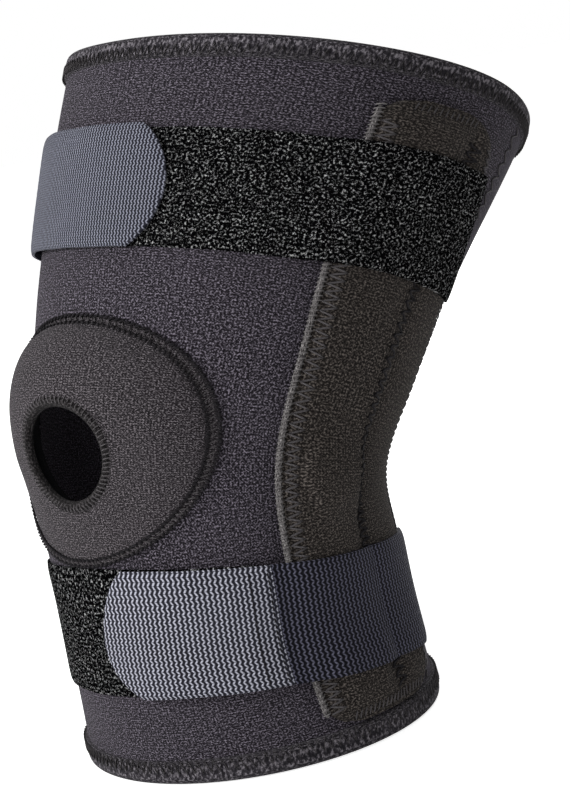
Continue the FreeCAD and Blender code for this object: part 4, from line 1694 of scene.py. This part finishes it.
@dataclass
class Straps:
    """Both hook-and-loop straps with their loop strips, tabs and hook pads."""

    leg: LegForm
    stays: StayRelief
    ease: float = 0.0002
    loop_height: float = 0.0018
    strap_height: float = 0.0018
    hook_low: float = 0.0021
    hook_height: float = 0.0009
    lower: Band = field(init=False)
    upper: Band = field(init=False)
    upper_tab: Band = field(init=False)

    def __post_init__(self) -> None:
        """Lay out the two courses."""
        self.lower = Band(self.leg, self.leg.knee_level - 0.0537, 0.022, 6.0)
        self.upper = Band(self.leg, self.leg.knee_level + 0.0875, 0.0235)
        self.upper_tab = Band(self.leg, self.leg.knee_level + 0.0875, 0.0245)

    def resting(self, lift: float) -> Callable[[np.ndarray, np.ndarray], np.ndarray]:
        """Height of a strap's underside that lies on the sleeve and over the side panels."""
        return lambda along, angle: PANEL_SHAPE.under_strap(self.stays, along, angle) + lift

    def rising(self, root: float, panel: float, lift: float) -> Callable[[np.ndarray, np.ndarray], np.ndarray]:
        """Height of a strap's underside that rises to its tab.

        Args:
            root: angle of the tab's root, where it is as high as the tab.
            panel: angle at which it still lies on the side panel.
            lift: above what it lies on.

        Returns:
            The height as a function of places along the leg and angles.
        """
        def low(along: np.ndarray, angle: np.ndarray) -> np.ndarray:
            """Height at a place, from its distance along the leg and its angle."""
            share = smoothstep(panel, root, angle)
            return np.maximum(self.resting(lift)(along, angle), self.tab_low * share + lift * (1 - share))
        return low

    @property
    def tab_low(self) -> float:
        """Height of a tab's underside."""
        return self.hook_low + self.hook_height

    def level(self, height: float) -> Callable[[np.ndarray, np.ndarray], np.ndarray]:
        """A constant height."""
        return lambda along, angle: np.full(np.broadcast(along, angle).shape, height)

    def build(self) -> None:
        """Make all eight pieces."""
        on_cloth = self.resting(self.ease)
        tab, hooks = self.level(self.tab_low), self.level(self.hook_low)
        pile, grey, hook = (PILE, HOOKS, PILE_EDGE), (GREY_TAB, HOOKS, SELVEDGE), (HOOKS, HOOKS, HOOKS)
        dark, pale = (DARK_ELASTIC, HOOKS, DARK_ELASTIC), (PALE_ELASTIC, HOOKS, PALE_ELASTIC)
        for part in (
                StrapPiece("upper_loop_cloth", "upper_loop_strip", "loop_pile", self.upper, -30, 122.5,
                           on_cloth, self.loop_height, pile, to_seam=True),
                StrapPiece("lower_loop_cloth", "lower_loop_strip", "loop_pile", self.lower, -121.5, 60,
                           on_cloth, self.loop_height, pile),
                StrapPiece("upper_strap_cloth", "upper_strap", "tab_grey", self.upper_tab, -38.3, -123.5,
                           self.rising(-39, -66, self.ease), self.strap_height, grey, to_seam=True),
                StrapPiece("lower_strap_cloth", "lower_strap", "elastic_dark", self.lower, 131.5, 64.3,
                           self.rising(65, 75, self.ease), self.strap_height, dark),
                StrapPiece("upper_tab_cloth", "upper_tab", "tab_grey", self.upper_tab, -38, 25,
                           tab, self.strap_height, grey, "upper_tab", tip_radius=0.029),
                StrapPiece("lower_tab_cloth", "lower_tab", "elastic_dark", self.lower, 64, 7,
                           tab, self.strap_height, pale, "lower_tab", tip_radius=0.026),
                StrapPiece("upper_hook_cloth", "upper_hook_pad", "hook_nylon", self.upper, -34, 22,
                           hooks, self.hook_height, hook, "upper_tab", tip_radius=0.029, narrower=0.002),
                StrapPiece("lower_hook_cloth", "lower_hook_pad", "hook_nylon", self.lower, 58, 11,
                           hooks, self.hook_height, hook, "lower_tab", tip_radius=0.026, narrower=0.002)):
            piece = part.build()
            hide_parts(part.node)
            if part.body:
                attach(piece, part.body)
            else:
                FOLD.carry(piece)
        self.sew_root()

    def sew_root(self) -> None:
        """Stitch lines across the lower tab, at its root and at the end of the hook pad."""
        half = self.lower.half_width - 0.0015
        lift = self.tab_low + self.strap_height + 0.0002 + np.array([0, 0.0003, 0.0003, 0])
        across = np.linspace(-1, 1, 19)
        paths = []
        for angle in (62.6, 57.0):
            middle = self.lower.along(np.full(4, angle))
            for low, high in zip(across[:-1], across[1:]):
                span = np.linspace(low, low + (high - low) * 0.72, 4)
                paths.append(self.leg.point(middle + span * half, angle, lift))
        piece = dress(tubes("lower_tab_stitches", paths, 0.0003), DARK_THREAD)
        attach(piece, "lower_tab")


# ------------------------------------------------------------------ hinged stays

class Hardware:
    """The steel stays and their fittings, which keep their exact shapes."""

    finishes: dict[str, Finish] = {"arm": STEEL, "rivet": STEEL, "cap": VINYL, "washer": NYLON}

    @classmethod
    def pieces(cls) -> list[tuple[str, bpy.types.Object]]:
        """Names and objects of the stays' pieces."""
        return [(name, node) for name, node in frame["nodes"].items()
                if name.rsplit("_", 1)[-1] in cls.finishes]

    def dress_all(self) -> None:
        """Give every stay piece its finish."""
        for name, node in self.pieces():
            dress(node, self.finishes[name.rsplit("_", 1)[-1]])
            log.info("%s dressed", name)


# ------------------------------------------------------------------ studio

@dataclass
class Studio:
    """Pale floor and background, soft lamps and the camera."""

    azimuth: float = 52.05
    elevation: float = 8.64
    roll: float = -12.41
    distance: float = 0.858
    target: tuple[float, float, float] = (0.0, 0.0, 0.1313)
    lens: float = 100.37925
    sensor: float = 36.0
    shift: float = 0.1267
    floor_glow: float = 0.78
    fill: float = 0.23

    def build(self) -> None:
        """Make floor, world, lamps and camera."""
        self.floor()
        self.world()
        self.lamp("key", (-0.40, -1.30, 0.85), 0.5, 18.0)
        self.lamp("front", (0.75, -1.25, 0.40), 0.6, 7.0)
        self.lamp("side", (1.5, 0.3, 0.7), 0.9, 0.8)
        self.lamp("back", (-0.7, 1.4, 0.6), 0.8, 11.0)
        self.lamp("top", (0.0, 0.3, 1.5), 1.0, 2.5)
        self.camera()
        bpy.context.scene.view_settings.view_transform = "Standard"

    def floor(self) -> None:
        """A wide pale floor that the camera sees as white outside the shadow."""
        corners = [(-6, -6, 0), (6, -6, 0), (6, 6, 0), (-6, 6, 0)]
        floor = new_mesh("floor", np.array(corners, float) - np.array([0, 0, 0.0004]), [(0, 1, 2, 3)])
        material = bpy.data.materials.new("pale_floor")
        material.use_nodes = True
        graph = Graph(material.node_tree)
        shader = next(n for n in material.node_tree.nodes if n.type == "BSDF_PRINCIPLED")
        shader.inputs["Base Color"].default_value = (0.82, 0.82, 0.82, 1)
        shader.inputs["Roughness"].default_value = 0.9
        shader.inputs["Emission Color"].default_value = (1, 1, 1, 1)
        glow = graph.math("MULTIPLY", self.seen(graph), self.floor_glow)
        material.node_tree.links.new(glow, shader.inputs["Emission Strength"])
        floor.data.materials.append(material)

    @staticmethod
    def seen(graph: Graph) -> bpy.types.NodeSocket:
        """1 where a ray comes from the camera, a reflection or glass."""
        path = graph.add("ShaderNodeLightPath").outputs
        return graph.math("MAXIMUM", path["Is Camera Ray"],
                          graph.math("MAXIMUM", path["Is Glossy Ray"], path["Is Transmission Ray"]))

    def world(self) -> None:
        """White where it is seen, and a plain fill elsewhere."""
        world = bpy.data.worlds.new("studio")
        bpy.context.scene.world = world
        world.use_nodes = True
        graph = Graph(world.node_tree)
        background = next(n for n in world.node_tree.nodes if n.type == "BACKGROUND")
        strength = graph.add("ShaderNodeMapRange",
                             {"Value": self.seen(graph), "To Min": self.fill, "To Max": 1.0})
        background.inputs["Color"].default_value = (1, 1, 1, 1)
        world.node_tree.links.new(strength.outputs["Result"], background.inputs["Strength"])

    def lamp(self, name: str, place: tuple[float, float, float], size: float, power: float) -> None:
        """A square soft lamp that faces the knee.

        Args:
            name: of the lamp.
            place: where it hangs.
            size: of its sides.
            power: in watts.
        """
        data = bpy.data.lights.new(name, "AREA")
        data.size = size
        data.energy = power
        lamp = bpy.data.objects.new(name, data)
        lamp.location = place
        lamp.rotation_euler = (Vector(self.target) - Vector(place)).to_track_quat("-Z", "Y").to_euler()
        bpy.context.scene.collection.objects.link(lamp)

    def camera(self) -> None:
        """The camera, leaning so that the shin slants across the frame."""
        azimuth, elevation, roll = (math.radians(v) for v in (self.azimuth, self.elevation, self.roll))
        back = Vector((math.sin(azimuth) * math.cos(elevation), -math.cos(azimuth) * math.cos(elevation),
                       math.sin(elevation)))
        level = Vector((math.cos(azimuth), math.sin(azimuth), 0))
        rise = back.cross(level)
        right = level * math.cos(roll) + rise * math.sin(roll)
        up = rise * math.cos(roll) - level * math.sin(roll)
        data = bpy.data.cameras.new("camera")
        data.sensor_fit = "VERTICAL"
        data.sensor_height = self.sensor
        data.lens = self.lens
        data.shift_x = self.shift
        camera = bpy.data.objects.new("camera", data)
        turn = Matrix((right, up, back)).transposed().to_4x4()
        camera.matrix_world = Matrix.Translation(Vector(self.target) + back * self.distance) @ turn
        bpy.context.scene.collection.objects.link(camera)
        bpy.context.scene.camera = camera


def main() -> None:
    """Build the brace and the studio."""
    logging.basicConfig(level=logging.INFO, format="%(name)s: %(message)s")
    leg = LegForm()
    Studio().build()
    patella = PatellaPanel(leg)
    Sleeve(leg, patella).build()
    patella.build()
    stays = StayRelief(leg)
    for side in Side:
        SidePanel(leg, side, stays).build()
    Binding(leg, "top_tape", "thigh", "top_binding", True).build()
    Binding(leg, "bottom_tape", "calf", "bottom_binding", False).build()
    Straps(leg, stays).build()
    Hardware().dress_all()


if __name__ == "__main__":
    main()
